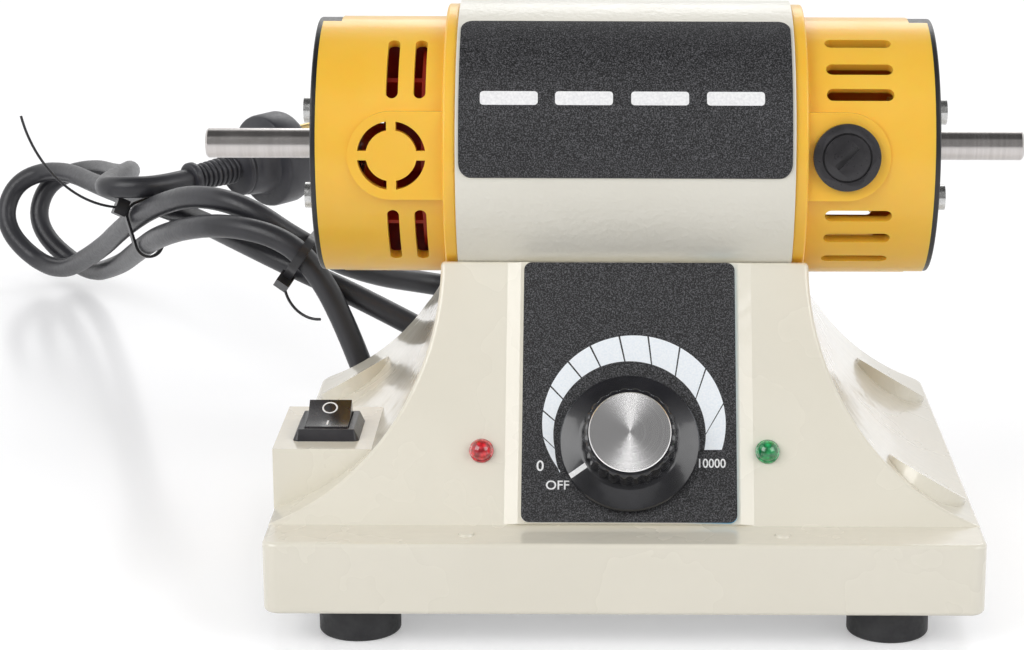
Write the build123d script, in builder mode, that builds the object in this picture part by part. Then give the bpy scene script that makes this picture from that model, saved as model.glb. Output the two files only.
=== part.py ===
from build123d import *
from math import acos, cos, radians, sin, sqrt, tan
import os

os.makedirs("parts", exist_ok=True)

# Bench buffer: a two-ended polishing motor on a cast base. Millimetres, +Z up, X along the
# motor shaft, the operator at -Y. The origin is on the bench, under the middle of the base.

# Base casting
base_width = 225.7
base_depth = 191.0
foot_height = 11.7
slab_height = 23.3
slab_corner = 5.0
wall = 3.5
ledge = 18.5
panel_angle = 32.2
pedestal_rise = 74.3
pedestal_width = 120.0
flank_straight = 2.0
back_rise = 29.0
back_land = 2.8
edge_round = 1.4
seam_gap = 0.3
pad_radius = 14.4
pad_height = 2.5
pad_turn = 59.5
pad_lean = 10.0
pad_front_y = -54.0
pad_rear_y = 65.0
drip_radius = 3.2
drip_height = 0.7
drip_spacing = 99.0

# Motor
axis_above_top = 32.3
front_land = 1.67
motor_roll = 5.4
frame_radius = 48.2
frame_wall = 3.0
frame_length = 109.0
saddle_gap = 0.2
flange_radius = 46.9
flange_width = 4.2
cap_radius = 42.7
cap_wall = 3.2
cap_length = 45.2
spigot_length = 4.0
end_plate_thick = 1.8
end_plate_radius = 42.3
end_screw_ring = 35.5
end_screw_turn = 23.0
lug_half_angle = 14.0
lug_length = 6.0
lug_thick = 2.6
slip = 0.1
running = 0.05

mount_spacing = 76.0
mount_screw_radius = 2.5
lead_x = -20.0
grommet_radius = 5.0
label_margin = 1.1
label_low_turn = -2.5
label_high_turn = 66.0
label_corner = 4.0
label_thick = 0.5

# Openings and seats in the end caps
seat_radius = 14.2
seat_height = 0.6
brush_reach = 16.6
vent_ring_reach = 20.7
vent_ring_outer = 11.05
vent_ring_inner = 8.2
vent_ring_bar = 3.0
left_slot_length = 23.5
left_slot_width = 3.9
left_slot_turn = 41.0
left_slot_pitch = 8.9
right_slot_length = 21.7
right_slot_width = 4.2
right_slot_turns = (27.4, 40.0, 55.7)
right_slot_reach = 21.1

# Shaft, bearings and rotor
shaft_radius = 5.0
journal_radius = 6.0
shaft_mid_radius = 6.8
left_stub = 39.1
right_stub = 32.5
shaft_chamfer = 0.7
bearing_radius = 13.0
bearing_width = 8.0
ball_radius = 2.3
ring_gap = 1.9
ball_count = 7
core_radius = 36.5
core_margin = 7.0
core_slots = 12
core_slot_width = 5.0
core_slot_depth = 14.0
winding_reach = 15.0
magnet_thick = 7.0
magnet_margin = 12.5
magnet_span = 130.0
commutator_radius = 13.0
commutator_length = 18.0
commutator_bars = 18
brush_width = 6.4
brush_depth = 10.4
brush_length = 14.0
brush_gap = 0.15
brush_cap_radius = 10.85
brush_cap_height = 2.2
holder_radius = 9.0
fan_radius = 37.0
fan_length = 16.0
fan_reach = 9.5
fan_blades = 9

# Front panel
plate_width = 68.4
plate_length = 86.8
plate_thick = 1.0
plate_corner = 2.6
plate_shift = 1.5
plate_rise = 0.6
land_height = 0.9
land_bevel = 4.3
land_margin = 1.1
knob_x = 1.6
knob_rise = 26.0
knob_radius = 22.3
knob_gap = 0.4
grip_radius = 15.3
grip_height = 14.6
grip_flutes = 24
skirt_edge = 2.0
skirt_height = 5.0
cap_disc_radius = 13.0
cap_disc_thick = 1.2
pointer_start = 16.0
pointer_length = 5.9
pointer_width = 1.7
pointer_turn = 210.5
pot_radius = 12.0
pot_depth = 11.0
bushing_radius = 3.5
bushing_length = 5.6
pot_shaft_radius = 3.0
pot_nut_width = 10.0
pot_nut_thick = 2.0
lamp_spacing = 91.2
lamp_rise = 24.3
lamp_radius = 3.9
lamp_stem_radius = 3.5
lamp_dome = 4.2
lamp_depth = 9.0

# Switch
box_length = 48.5
box_start = 35.5
box_height = 19.8
box_wall = 2.6
bezel_width = 21.6
bezel_length = 25.0
bezel_height = 3.6
bezel_slope = 25.0
bezel_corner = 2.0
bezel_inset = 16.25
bezel_centre = 56.1
switch_body_width = 19.2
switch_body_length = 22.0
switch_body_depth = 16.0
rocker_width = 13.8
rocker_length = 18.6
rocker_throw = 30.0
rocker_pivot = 2.0
rocker_valley = 2.2
rocker_reach = 9.5
rocker_gap = 0.3
terminal_length = 8.0

# Feet, bottom plate and its screws
foot_radius = 13.0
foot_inset_x = 28.75
foot_inset_y = 19.6
foot_recess = 5.0
foot_recess_radius = 5.0
bottom_thick = 1.5
pillar_radius = 5.0
screw_radius = 2.0
side_screw_radius = 1.5
side_screw_inset = 4.5

# Speed control board
board_length = 70.0
board_width = 48.0
board_hole_inset = 5.0
board_thick = 1.6
board_x = 22.0
board_y = 18.0
standoff_height = 6.0
standoff_radius = 3.0
capacitor_radius = 9.0
capacitor_height = 22.0
choke_width = 18.0
choke_length = 22.0
choke_height = 14.0
sink_thick = 3.0
sink_length = 24.0
sink_height = 20.0
block_length = 30.0
block_width = 8.0
block_height = 10.0
part_spacing = 22.0

# Power lead
gland_x = -38.0
cord_radius = 4.5
gland_z = 50.0
sleeve_length = 28.0
sleeve_root = 7.6
sleeve_tip = 5.8
gland_flange = 9.4
gland_neck = 6.4

# Plug and cable ties
plug_collar = 6.8
plug_collar_width = 4.0
plug_sleeve = 24.0
plug_sleeve_radius = 5.4
plug_waist = 12.0
plug_shoulder = 38.0
plug_head = 19.7
plug_length = 52.0
pin_radius = 2.4
pin_length = 19.0
pin_spacing = 19.0
left_tie_gap = 0.6
right_tie_gap = 2.5
tie_thick = 1.1
tie_width = 3.6

# Places worked out from the dimensions above
slab_top = foot_height + slab_height
pedestal_top = slab_top + pedestal_rise
front_y = -base_depth / 2
back_y = base_depth / 2
panel_y = front_y + ledge
lean = radians(panel_angle)
saddle_radius = frame_radius + saddle_gap
saddle_half = sqrt(saddle_radius**2 - axis_above_top**2)
motor_height = pedestal_top + axis_above_top
motor_back = panel_y + pedestal_rise * tan(lean) + front_land + saddle_half
frame_end = frame_length / 2
cap_end = frame_end + cap_length
seat_x = frame_end + brush_reach
vent_ring_x = frame_end + vent_ring_reach
right_slot_x = frame_end + right_slot_reach
left_reach = cap_end + end_plate_thick + left_stub
right_reach = cap_end + end_plate_thick + right_stub
magnet_length = frame_length - 2 * magnet_margin
core_length = magnet_length - 2 * core_margin
fan_inner_end = frame_end + fan_reach
cap_bore = cap_radius - cap_wall
bearing_seat = cap_end - cap_wall - bearing_width
foot_x = base_width / 2 - foot_inset_x
foot_y = base_depth / 2 - foot_inset_y
back_slope_y = motor_back + saddle_half + back_land
board_hole_x = board_length - 2 * board_hole_inset
board_hole_y = board_width - 2 * board_hole_inset
flank_spread = (base_width - pedestal_width) / 2
flank_drop = pedestal_rise - flank_straight
flank_radius = (flank_spread**2 + flank_drop**2) / (2 * flank_spread)
flank_x = pedestal_width / 2 + flank_radius
flank_z = slab_top + flank_drop

panel_axis = Axis((0, 0, 0), (0, -cos(lean), sin(lean)))
motor_axis = Axis((0, motor_back, motor_height), (1, 0, 0))
motor_side = Plane(origin=(0, motor_back, motor_height), x_dir=(1, 0, 0), z_dir=(0, -1, 0))
panel = Plane(origin=(0, panel_y, slab_top), x_dir=(1, 0, 0), z_dir=(0, -cos(lean), sin(lean)))


def flank_at(z):
    """Half width of the casting where its concave flank is at height z."""
    return flank_x - sqrt(flank_radius**2 - (flank_z - z) ** 2)


def across(x):
    """Plane square to the motor axis at x, with its own x towards the front brush."""
    turn = radians(motor_roll)
    return Plane(origin=(x, motor_back, motor_height), x_dir=(0, -cos(turn), sin(turn)), z_dir=(1, 0, 0))


def facing(x, turn, distance=0.0):
    """Plane at x that looks out from the motor axis, turned up from the front brush."""
    angle = radians(motor_roll + turn)
    y = motor_back - distance * cos(angle)
    z = motor_height + distance * sin(angle)
    return Plane(origin=(x, y, z), x_dir=(1, 0, 0), z_dir=(0, -cos(angle), sin(angle)))


def on_panel(x, rise, height=0.0):
    """Plane on the sloped front panel, at a distance up the slope and off its face."""
    place = panel.from_local_coords((x, rise, height))
    return Plane(origin=place, x_dir=panel.x_dir, z_dir=panel.z_dir)


def front_outline():
    """The casting seen from the front: slab, concave flanks and flat top."""
    half_base = base_width / 2
    half_top = pedestal_width / 2
    middle = 0.5 * acos((flank_radius - flank_spread) / flank_radius)
    mid_x = flank_x - flank_radius * cos(middle)
    mid_z = flank_z - flank_radius * sin(middle)
    with BuildLine() as outline:
        Polyline(
            (half_base, slab_top),
            (half_base, foot_height),
            (-half_base, foot_height),
            (-half_base, slab_top),
        )
        ThreePointArc((-half_base, slab_top), (-mid_x, mid_z), (-half_top, flank_z))
        Polyline(
            (-half_top, flank_z),
            (-half_top, pedestal_top),
            (half_top, pedestal_top),
            (half_top, flank_z),
        )
        ThreePointArc((half_top, flank_z), (mid_x, mid_z), (half_base, slab_top))
    return outline.line


def side_outline():
    """The casting seen from the side: ledge, sloped panel, saddle land and back."""
    with BuildLine() as outline:
        Polyline(
            (front_y, foot_height),
            (front_y, slab_top),
            (panel_y, slab_top),
            (panel_y + pedestal_rise * tan(lean), pedestal_top),
            (back_slope_y, pedestal_top),
            (back_y, slab_top + back_rise),
            (back_y, foot_height),
            close=True,
        )
    return outline.line


# Outer form of the casting: the two outlines, each run through the other
with BuildPart() as housing_outside:
    with BuildSketch(Plane.XZ):
        with BuildLine():
            add(front_outline())
        make_face()
    extrude(amount=base_depth / 2, both=True)
    with BuildSketch(Plane.YZ):
        with BuildLine():
            add(side_outline())
        make_face()
    extrude(amount=base_width / 2, both=True, mode=Mode.INTERSECT)
    fillet(housing_outside.edges().filter_by(Axis.Z).group_by(Axis.Z)[0], radius=slab_corner)
    # Every outer edge is rounded but the inner corner at the foot of the panel, the soft corners
    # that are rounded already, and the change of slope at the top of each flank
    upright = housing_outside.edges().filter_by(Axis.Z)
    crosswise = housing_outside.edges().filter_by(Axis.X)
    panel_foot = crosswise.filter_by_position(Axis.Y, panel_y - 0.1, panel_y + 0.1)
    flank_top = housing_outside.edges().filter_by_position(Axis.Z, flank_z - 0.1, flank_z + 0.1).filter_by(Axis.Y)
    fillet(housing_outside.edges() - upright - panel_foot - flank_top, radius=edge_round)

# Hollow of the casting, one wall inside, kept clear of the saddle
with BuildPart() as housing_inside:
    with BuildSketch(Plane.XZ):
        with BuildLine():
            add(front_outline())
        make_face()
        offset(amount=-wall, kind=Kind.INTERSECTION)
    extrude(amount=base_depth / 2 - wall, both=True)
    with BuildSketch(Plane.YZ):
        with BuildLine():
            add(side_outline())
        make_face()
        offset(amount=-wall, kind=Kind.INTERSECTION)
    extrude(amount=base_width / 2, both=True, mode=Mode.INTERSECT)
    with BuildSketch(Plane.XY.offset(foot_height - wall)):
        RectangleRounded(base_width - 2 * wall, base_depth - 2 * wall, slab_corner - wall / 2)
    extrude(amount=3 * wall)
    with BuildSketch(across(-base_width / 2)):
        Circle(saddle_radius + wall)
    extrude(amount=base_width, mode=Mode.SUBTRACT)

# Pillars inside the casting for the feet and the bottom plate
side_screws = [(0, -1), (1, 0), (0, 1), (-1, 0)]
side_screw_places = [
    (sx * (base_width / 2 - wall - side_screw_inset), sy * (base_depth / 2 - wall - side_screw_inset))
    for sx, sy in side_screws
]
with BuildPart() as pillars:
    with BuildSketch(Plane.XY.offset(foot_height + bottom_thick)):
        with GridLocations(2 * foot_x, 2 * foot_y, 2, 2):
            Circle(pillar_radius)
        with Locations(side_screw_places):
            Circle(pillar_radius)
    extrude(amount=slab_height + back_rise)
    add(housing_outside.part, mode=Mode.INTERSECT)

# Sizes of the switch box on the left of the casting
box_inner_x = flank_at(slab_top + box_height)
box_y = front_y + box_start + box_length / 2
box_x = -(base_width / 2 + box_inner_x) / 2
switch_x = -(base_width / 2 - bezel_inset)
switch_y = front_y + bezel_centre
switch_z = slab_top + box_height

with BuildPart() as base_housing:
    add(housing_outside.part)
    # Raised land on the panel, with bevelled sides, that carries the control plate
    land_half = plate_width / 2 + land_margin
    land_start = panel.from_local_coords((0, plate_rise / 2, 0))
    with BuildSketch(Plane(origin=land_start, x_dir=(-1, 0, 0), z_dir=panel.y_dir)):
        with Locations((-plate_shift, 0)):
            Polygon(
                (-land_half - land_bevel, -wall / 2),
                (land_half + land_bevel, -wall / 2),
                (land_half + land_bevel, 0),
                (land_half, land_height),
                (-land_half, land_height),
                (-land_half - land_bevel, 0),
                align=None,
            )
    extrude(amount=plate_length + plate_rise)
    # Round pads on the flanks, leaning back a little; the switch box has the fourth place
    turn = radians(pad_turn)
    tip = radians(pad_lean)
    pad_sink = wall / 2 + pad_radius * sin(tip)
    pad_distance = flank_radius + pad_sink
    for side, pad_y in ((1, pad_front_y), (1, pad_rear_y), (-1, pad_rear_y)):
        pad_foot = (side * (flank_x - pad_distance * cos(turn)), pad_y, flank_z - pad_distance * sin(turn))
        pad_out = (side * cos(turn) * cos(tip), sin(tip), sin(turn) * cos(tip))
        with BuildSketch(Plane(origin=pad_foot, z_dir=pad_out)):
            Circle(pad_radius)
        extrude(amount=pad_height + pad_sink)
    with BuildSketch(Plane.XY.offset(foot_height + wall)):
        with Locations((box_x, box_y)):
            Rectangle(base_width / 2 - box_inner_x, box_length)
    extrude(amount=slab_height - wall + box_height)
    with BuildSketch(Plane.XY.offset(slab_top - wall / 2)):
        with Locations((-drip_spacing / 2, front_y + ledge / 2), (drip_spacing / 2, front_y + ledge / 2)):
            Circle(drip_radius)
    extrude(amount=drip_height + wall / 2, taper=20)
    # Hollow, switch pocket and pillars
    add(housing_inside.part, mode=Mode.SUBTRACT)
    with BuildSketch(Plane.XY.offset(foot_height + wall)):
        with Locations((box_x + box_wall / 2 + wall / 2, box_y)):
            Rectangle(base_width / 2 - box_inner_x - box_wall + wall, box_length - 2 * box_wall)
    extrude(amount=slab_height - wall + box_height - box_wall, mode=Mode.SUBTRACT)
    add(pillars.part)
    # Seat of the motor frame
    with BuildSketch(across(-base_width / 2)):
        Circle(saddle_radius)
    extrude(amount=base_width, mode=Mode.SUBTRACT)
    # Screw holes from below
    with BuildSketch(Plane.XY.offset(foot_height)):
        with GridLocations(2 * foot_x, 2 * foot_y, 2, 2):
            Circle(screw_radius + running)
        with Locations(side_screw_places):
            Circle(side_screw_radius + running)
    extrude(amount=slab_height - wall, mode=Mode.SUBTRACT)
    # Screws and lead of the motor, up through the saddle
    with BuildSketch(Plane.XY.offset(pedestal_top - 2 * saddle_radius / 3)):
        with Locations((-mount_spacing / 2, motor_back), (mount_spacing / 2, motor_back)):
            Circle(mount_screw_radius + slip)
        with Locations((lead_x, motor_back)):
            Circle(grommet_radius)
    extrude(amount=saddle_radius, mode=Mode.SUBTRACT)
    # Control shaft and lamps, through the panel
    with BuildSketch(panel.offset(-3 * wall)):
        with Locations((knob_x, knob_rise)):
            Circle(bushing_radius + slip)
        with Locations((-lamp_spacing / 2, lamp_rise), (lamp_spacing / 2, lamp_rise)):
            Circle(lamp_stem_radius + slip)
    extrude(amount=6 * wall, mode=Mode.SUBTRACT)
    # Switch opening and cord gland
    with BuildSketch(Plane.XY.offset(switch_z - 2 * box_wall)):
        with Locations((switch_x, switch_y)):
            Rectangle(switch_body_width + 2 * slip, switch_body_length + 2 * slip)
    extrude(amount=3 * box_wall, mode=Mode.SUBTRACT)
    with BuildSketch(Plane(origin=(gland_x, back_y - 2 * wall, gland_z), z_dir=(0, 1, 0))):
        Circle(gland_neck + slip)
    extrude(amount=3 * wall, mode=Mode.SUBTRACT)
base_housing.part.label = "base_housing"
export_step(base_housing.part, "parts/base_housing.step")

# Bottom plate, let in between the walls, with its screws
with BuildPart() as bottom_plate:
    with BuildSketch(Plane.XY.offset(foot_height)):
        RectangleRounded(
            base_width - 2 * wall - 2 * seam_gap, base_depth - 2 * wall - 2 * seam_gap, slab_corner - wall / 2
        )
        with GridLocations(2 * foot_x, 2 * foot_y, 2, 2):
            Circle(screw_radius + slip, mode=Mode.SUBTRACT)
        with Locations(side_screw_places):
            Circle(side_screw_radius + slip, mode=Mode.SUBTRACT)
        with Locations((board_x, board_y)):
            with GridLocations(board_hole_x, board_hole_y, 2, 2):
                Circle(side_screw_radius + slip, mode=Mode.SUBTRACT)
    extrude(amount=bottom_thick)
bottom_plate.part.label = "bottom_plate"
export_step(bottom_plate.part, "parts/bottom_plate.step")

with BuildPart() as bottom_plate_screws:
    with BuildSketch(Plane.XY.offset(foot_height)):
        with Locations(side_screw_places):
            Circle(2 * side_screw_radius)
    extrude(amount=-1.6)
    with BuildSketch(Plane.XY.offset(foot_height)):
        with Locations(side_screw_places):
            Circle(side_screw_radius)
    extrude(amount=slab_height / 2)
bottom_plate_screws.part.label = "bottom_plate_screws"
export_step(bottom_plate_screws.part, "parts/bottom_plate_screws.step")

with BuildPart() as rubber_feet:
    with BuildSketch(Plane.XY):
        with GridLocations(2 * foot_x, 2 * foot_y, 2, 2):
            Circle(foot_radius)
    extrude(amount=foot_height)
    fillet(rubber_feet.edges().group_by(Axis.Z)[0], radius=1.2)
    with BuildSketch(Plane.XY):
        with GridLocations(2 * foot_x, 2 * foot_y, 2, 2):
            Circle(foot_recess_radius)
    extrude(amount=foot_recess, mode=Mode.SUBTRACT)
    with BuildSketch(Plane.XY):
        with GridLocations(2 * foot_x, 2 * foot_y, 2, 2):
            Circle(screw_radius + slip)
    extrude(amount=foot_height, mode=Mode.SUBTRACT)
rubber_feet.part.label = "rubber_feet"
export_step(rubber_feet.part, "parts/rubber_feet.step")

with BuildPart() as foot_screws:
    with BuildSketch(Plane.XY.offset(foot_recess)):
        with GridLocations(2 * foot_x, 2 * foot_y, 2, 2):
            Circle(2 * screw_radius)
    extrude(amount=-2.4)
    with BuildSketch(Plane.XY.offset(foot_recess)):
        with GridLocations(2 * foot_x, 2 * foot_y, 2, 2):
            Circle(screw_radius)
    extrude(amount=foot_height + slab_height / 2)
foot_screws.part.label = "foot_screws"
export_step(foot_screws.part, "parts/foot_screws.step")

# Motor frame: a plain tube with its mounting and lead holes below
with BuildPart() as motor_frame:
    with BuildSketch(across(-frame_end)):
        Circle(frame_radius)
        Circle(frame_radius - frame_wall, mode=Mode.SUBTRACT)
    extrude(amount=frame_length)
    with BuildSketch(Plane.XY.offset(motor_height)):
        with Locations((-mount_spacing / 2, motor_back), (mount_spacing / 2, motor_back)):
            Circle(mount_screw_radius + running)
        with Locations((lead_x, motor_back)):
            Circle(grommet_radius)
    extrude(amount=-2 * frame_radius, mode=Mode.SUBTRACT)
motor_frame.part.label = "motor_frame"
export_step(motor_frame.part, "parts/motor_frame.step")

# Blank plate wrapped round the front of the frame
plate_turn = (label_low_turn + label_high_turn) / 2 - motor_roll
plate_half = radians((label_high_turn - label_low_turn) / 2)
with BuildPart() as name_plate:
    with BuildSketch(facing(0, plate_turn)):
        RectangleRounded(frame_length - 2 * label_margin, 2 * frame_radius * sin(plate_half), label_corner)
    extrude(amount=2 * frame_radius)
    with BuildSketch(across(-frame_end)) as plate_shell:
        Circle(frame_radius + slip + label_thick)
        Circle(frame_radius + slip, mode=Mode.SUBTRACT)
    extrude(amount=frame_length, mode=Mode.INTERSECT)
name_plate.part.label = "name_plate"
export_step(name_plate.part, "parts/name_plate.step")

with BuildPart() as motor_mount_screws:
    with BuildSketch(Plane.XY.offset(motor_height - saddle_radius - wall)):
        with Locations((-mount_spacing / 2, motor_back), (mount_spacing / 2, motor_back)):
            Circle(1.8 * mount_screw_radius)
    extrude(amount=-mount_screw_radius)
    with BuildSketch(Plane.XY.offset(motor_height - saddle_radius - wall)):
        with Locations((-mount_spacing / 2, motor_back), (mount_spacing / 2, motor_back)):
            Circle(mount_screw_radius)
    extrude(amount=wall + saddle_gap + frame_wall - 0.4)
motor_mount_screws.part.label = "motor_mount_screws"
export_step(motor_mount_screws.part, "parts/motor_mount_screws.step")

with BuildPart() as lead_grommet:
    with BuildSketch(Plane.XY.offset(motor_height - saddle_radius - wall)):
        with Locations((lead_x, motor_back)):
            Circle(grommet_radius)
            Circle(grommet_radius - 2, mode=Mode.SUBTRACT)
    extrude(amount=wall + saddle_gap + frame_wall - 0.4)
    with BuildSketch(Plane.XY.offset(motor_height - saddle_radius - wall)):
        with Locations((lead_x, motor_back)):
            Circle(grommet_radius + 2)
            Circle(grommet_radius - 2, mode=Mode.SUBTRACT)
    extrude(amount=-1.6)
lead_grommet.part.label = "lead_grommet"
export_step(lead_grommet.part, "parts/lead_grommet.step")


def end_cap_outside():
    """Half outline of an end cap: spigot, flange and barrel, as x and radius."""
    return [
        (frame_end - spigot_length, 0),
        (frame_end - spigot_length, frame_radius - frame_wall - running),
        (frame_end, frame_radius - frame_wall - running),
        (frame_end, flange_radius),
        (frame_end + flange_width, flange_radius),
        (frame_end + flange_width, cap_radius),
        (cap_end, cap_radius),
        (cap_end, 0),
    ]


def end_cap_inside():
    """Half outline of the hollow of an end cap, with its bearing hub."""
    return [
        (frame_end - spigot_length, 0),
        (frame_end - spigot_length, cap_bore + 2),
        (frame_end, cap_bore + 2),
        (frame_end, cap_bore),
        (cap_end - cap_wall, cap_bore),
        (cap_end - cap_wall, bearing_radius + cap_wall),
        (bearing_seat, bearing_radius + cap_wall),
        (bearing_seat, bearing_radius),
        (cap_end - cap_wall, bearing_radius),
        (cap_end - cap_wall, bearing_radius - 3.5),
        (cap_end, bearing_radius - 3.5),
        (cap_end, 0),
    ]


lug_spread = tan(radians(lug_half_angle))
lug_far = 1.2 * cap_radius
end_screw_places = [
    (end_screw_ring * cos(radians(half + side * end_screw_turn)),
     end_screw_ring * sin(radians(half + side * end_screw_turn)))
    for half in (0, 180)
    for side in (-1, 1)
]


with BuildPart() as end_cap_left:
    with BuildSketch(motor_side):
        with BuildLine():
            Polyline(*[(-x, r) for x, r in end_cap_outside()], close=True)
        make_face()
    revolve(axis=motor_axis)
    fillet(end_cap_left.edges().filter_by(GeomType.CIRCLE).filter_by(
        lambda e: abs(e.radius - flange_radius) < 0.01), radius=0.8)
    # Flat seats front and back, each joined to the flange
    for half in (0, 180):
        with BuildSketch(facing(-vent_ring_x, half, cap_radius + seat_height)):
            Circle(seat_radius)
            with Locations(((vent_ring_x - frame_end) / 2, 0)):
                Rectangle(vent_ring_x - frame_end, 2 * seat_radius)
        extrude(amount=-cap_radius / 3)
    with BuildSketch(motor_side):
        with BuildLine():
            Polyline(*[(-x, r) for x, r in end_cap_inside()], close=True)
        make_face()
    revolve(axis=motor_axis, mode=Mode.SUBTRACT)
    # Ring of four openings in each seat
    for half in (0, 180):
        with BuildSketch(facing(-vent_ring_x, half, cap_bore / 2)):
            Circle(vent_ring_outer)
            Circle(vent_ring_inner, mode=Mode.SUBTRACT)
            Rectangle(3 * vent_ring_outer, vent_ring_bar, mode=Mode.SUBTRACT)
            Rectangle(vent_ring_bar, 3 * vent_ring_outer, mode=Mode.SUBTRACT)
        extrude(amount=cap_radius, mode=Mode.SUBTRACT)
    # Pairs of slots that run round the barrel
    for half in (0, 180):
        for side in (-1, 1):
            for row in (0, 1):
                with BuildSketch(
                    facing(-vent_ring_x + row * left_slot_pitch, half + side * left_slot_turn, cap_bore / 2)
                ):
                    SlotOverall(left_slot_length, left_slot_width, rotation=90)
                extrude(amount=cap_radius, mode=Mode.SUBTRACT)
    with BuildSketch(across(-cap_end)):
        with Locations(end_screw_places):
            Circle(screw_radius + running)
    extrude(amount=2 * cap_wall, mode=Mode.SUBTRACT)
    # Notches above and below for the lugs of the end plate
    with BuildSketch(across(-cap_end)):
        with PolarLocations(0, 2, start_angle=90):
            Polygon((0, 0), (lug_far, -lug_far * lug_spread), (lug_far, lug_far * lug_spread), align=None)
        Circle(cap_bore, mode=Mode.SUBTRACT)
    extrude(amount=lug_length, mode=Mode.SUBTRACT)
end_cap_left.part.label = "end_cap_left"
export_step(end_cap_left.part, "parts/end_cap_left.step")

with BuildPart() as end_cap_right:
    with BuildSketch(motor_side):
        with BuildLine():
            Polyline(*end_cap_outside(), close=True)
        make_face()
    revolve(axis=motor_axis)
    fillet(end_cap_right.edges().filter_by(GeomType.CIRCLE).filter_by(
        lambda e: abs(e.radius - flange_radius) < 0.01), radius=0.8)
    for half in (0, 180):
        with BuildSketch(facing(seat_x, half, cap_radius + seat_height)):
            Circle(seat_radius)
            with Locations(((frame_end - seat_x) / 2, 0)):
                Rectangle(seat_x - frame_end, 2 * seat_radius)
        extrude(amount=-cap_radius / 3)
    with BuildSketch(motor_side):
        with BuildLine():
            Polyline(*end_cap_inside(), close=True)
        make_face()
    revolve(axis=motor_axis, mode=Mode.SUBTRACT)
    # Brush bores, and slots along the barrel on both sides of them
    for half in (0, 180):
        with BuildSketch(facing(seat_x, half, cap_bore / 2)):
            Circle(holder_radius + slip)
        extrude(amount=cap_radius, mode=Mode.SUBTRACT)
        for side in (-1, 1):
            for turn in right_slot_turns:
                with BuildSketch(facing(right_slot_x, half + side * turn, cap_bore / 2)):
                    SlotOverall(right_slot_length, right_slot_width)
                extrude(amount=cap_radius, mode=Mode.SUBTRACT)
    with BuildSketch(across(cap_end)):
        with Locations(end_screw_places):
            Circle(screw_radius + running)
    extrude(amount=-2 * cap_wall, mode=Mode.SUBTRACT)
    # Notches above and below for the lugs of the end plate
    with BuildSketch(across(cap_end)):
        with PolarLocations(0, 2, start_angle=90):
            Polygon((0, 0), (lug_far, -lug_far * lug_spread), (lug_far, lug_far * lug_spread), align=None)
        Circle(cap_bore, mode=Mode.SUBTRACT)
    extrude(amount=-lug_length, mode=Mode.SUBTRACT)
end_cap_right.part.label = "end_cap_right"
export_step(end_cap_right.part, "parts/end_cap_right.step")

# Black discs that close the barrels, each held by two lugs and four screws
with BuildPart() as end_plate_left:
    with BuildSketch(across(-cap_end)):
        Circle(end_plate_radius)
        Circle(journal_radius + 1, mode=Mode.SUBTRACT)
        with Locations(end_screw_places):
            Circle(screw_radius + slip, mode=Mode.SUBTRACT)
    extrude(amount=-end_plate_thick)
    fillet(end_plate_left.edges().group_by(Axis.X)[0].sort_by(SortBy.RADIUS)[-1], radius=0.6)
    with BuildSketch(across(-cap_end)):
        with PolarLocations(0, 2, start_angle=90):
            Polygon(
                (0, 0), (lug_far, slip * 4 - lug_far * lug_spread), (lug_far, lug_far * lug_spread - slip * 4), align=None
            )
        Circle(end_plate_radius, mode=Mode.INTERSECT)
        Circle(cap_bore + slip, mode=Mode.SUBTRACT)
    extrude(amount=lug_length - slip)
end_plate_left.part.label = "end_plate_left"
export_step(end_plate_left.part, "parts/end_plate_left.step")

with BuildPart() as end_plate_right:
    with BuildSketch(across(cap_end)):
        Circle(end_plate_radius)
        Circle(journal_radius + 1, mode=Mode.SUBTRACT)
        with Locations(end_screw_places):
            Circle(screw_radius + slip, mode=Mode.SUBTRACT)
    extrude(amount=end_plate_thick)
    fillet(end_plate_right.edges().group_by(Axis.X)[-1].sort_by(SortBy.RADIUS)[-1], radius=0.6)
    with BuildSketch(across(cap_end)):
        with PolarLocations(0, 2, start_angle=90):
            Polygon(
                (0, 0), (lug_far, slip * 4 - lug_far * lug_spread), (lug_far, lug_far * lug_spread - slip * 4), align=None
            )
        Circle(end_plate_radius, mode=Mode.INTERSECT)
        Circle(cap_bore + slip, mode=Mode.SUBTRACT)
    extrude(amount=-lug_length + slip)
end_plate_right.part.label = "end_plate_right"
export_step(end_plate_right.part, "parts/end_plate_right.step")

with BuildPart() as end_plate_screws:
    for side in (-1, 1):
        with BuildSketch(across(side * (cap_end + end_plate_thick))):
            with Locations(end_screw_places):
                Circle(2.1 * screw_radius)
        extrude(amount=side * 2.4)
        with BuildSketch(across(side * (cap_end + end_plate_thick))):
            with Locations(end_screw_places):
                Circle(screw_radius)
        extrude(amount=-side * (end_plate_thick + cap_wall))
        with BuildSketch(across(side * (cap_end + end_plate_thick + 2.4))):
            with Locations(end_screw_places):
                Rectangle(4.2, 0.9)
                Rectangle(0.9, 4.2)
        extrude(amount=-side * 1.4, mode=Mode.SUBTRACT)
end_plate_screws.part.label = "end_plate_screws"
export_step(end_plate_screws.part, "parts/end_plate_screws.step")

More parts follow.
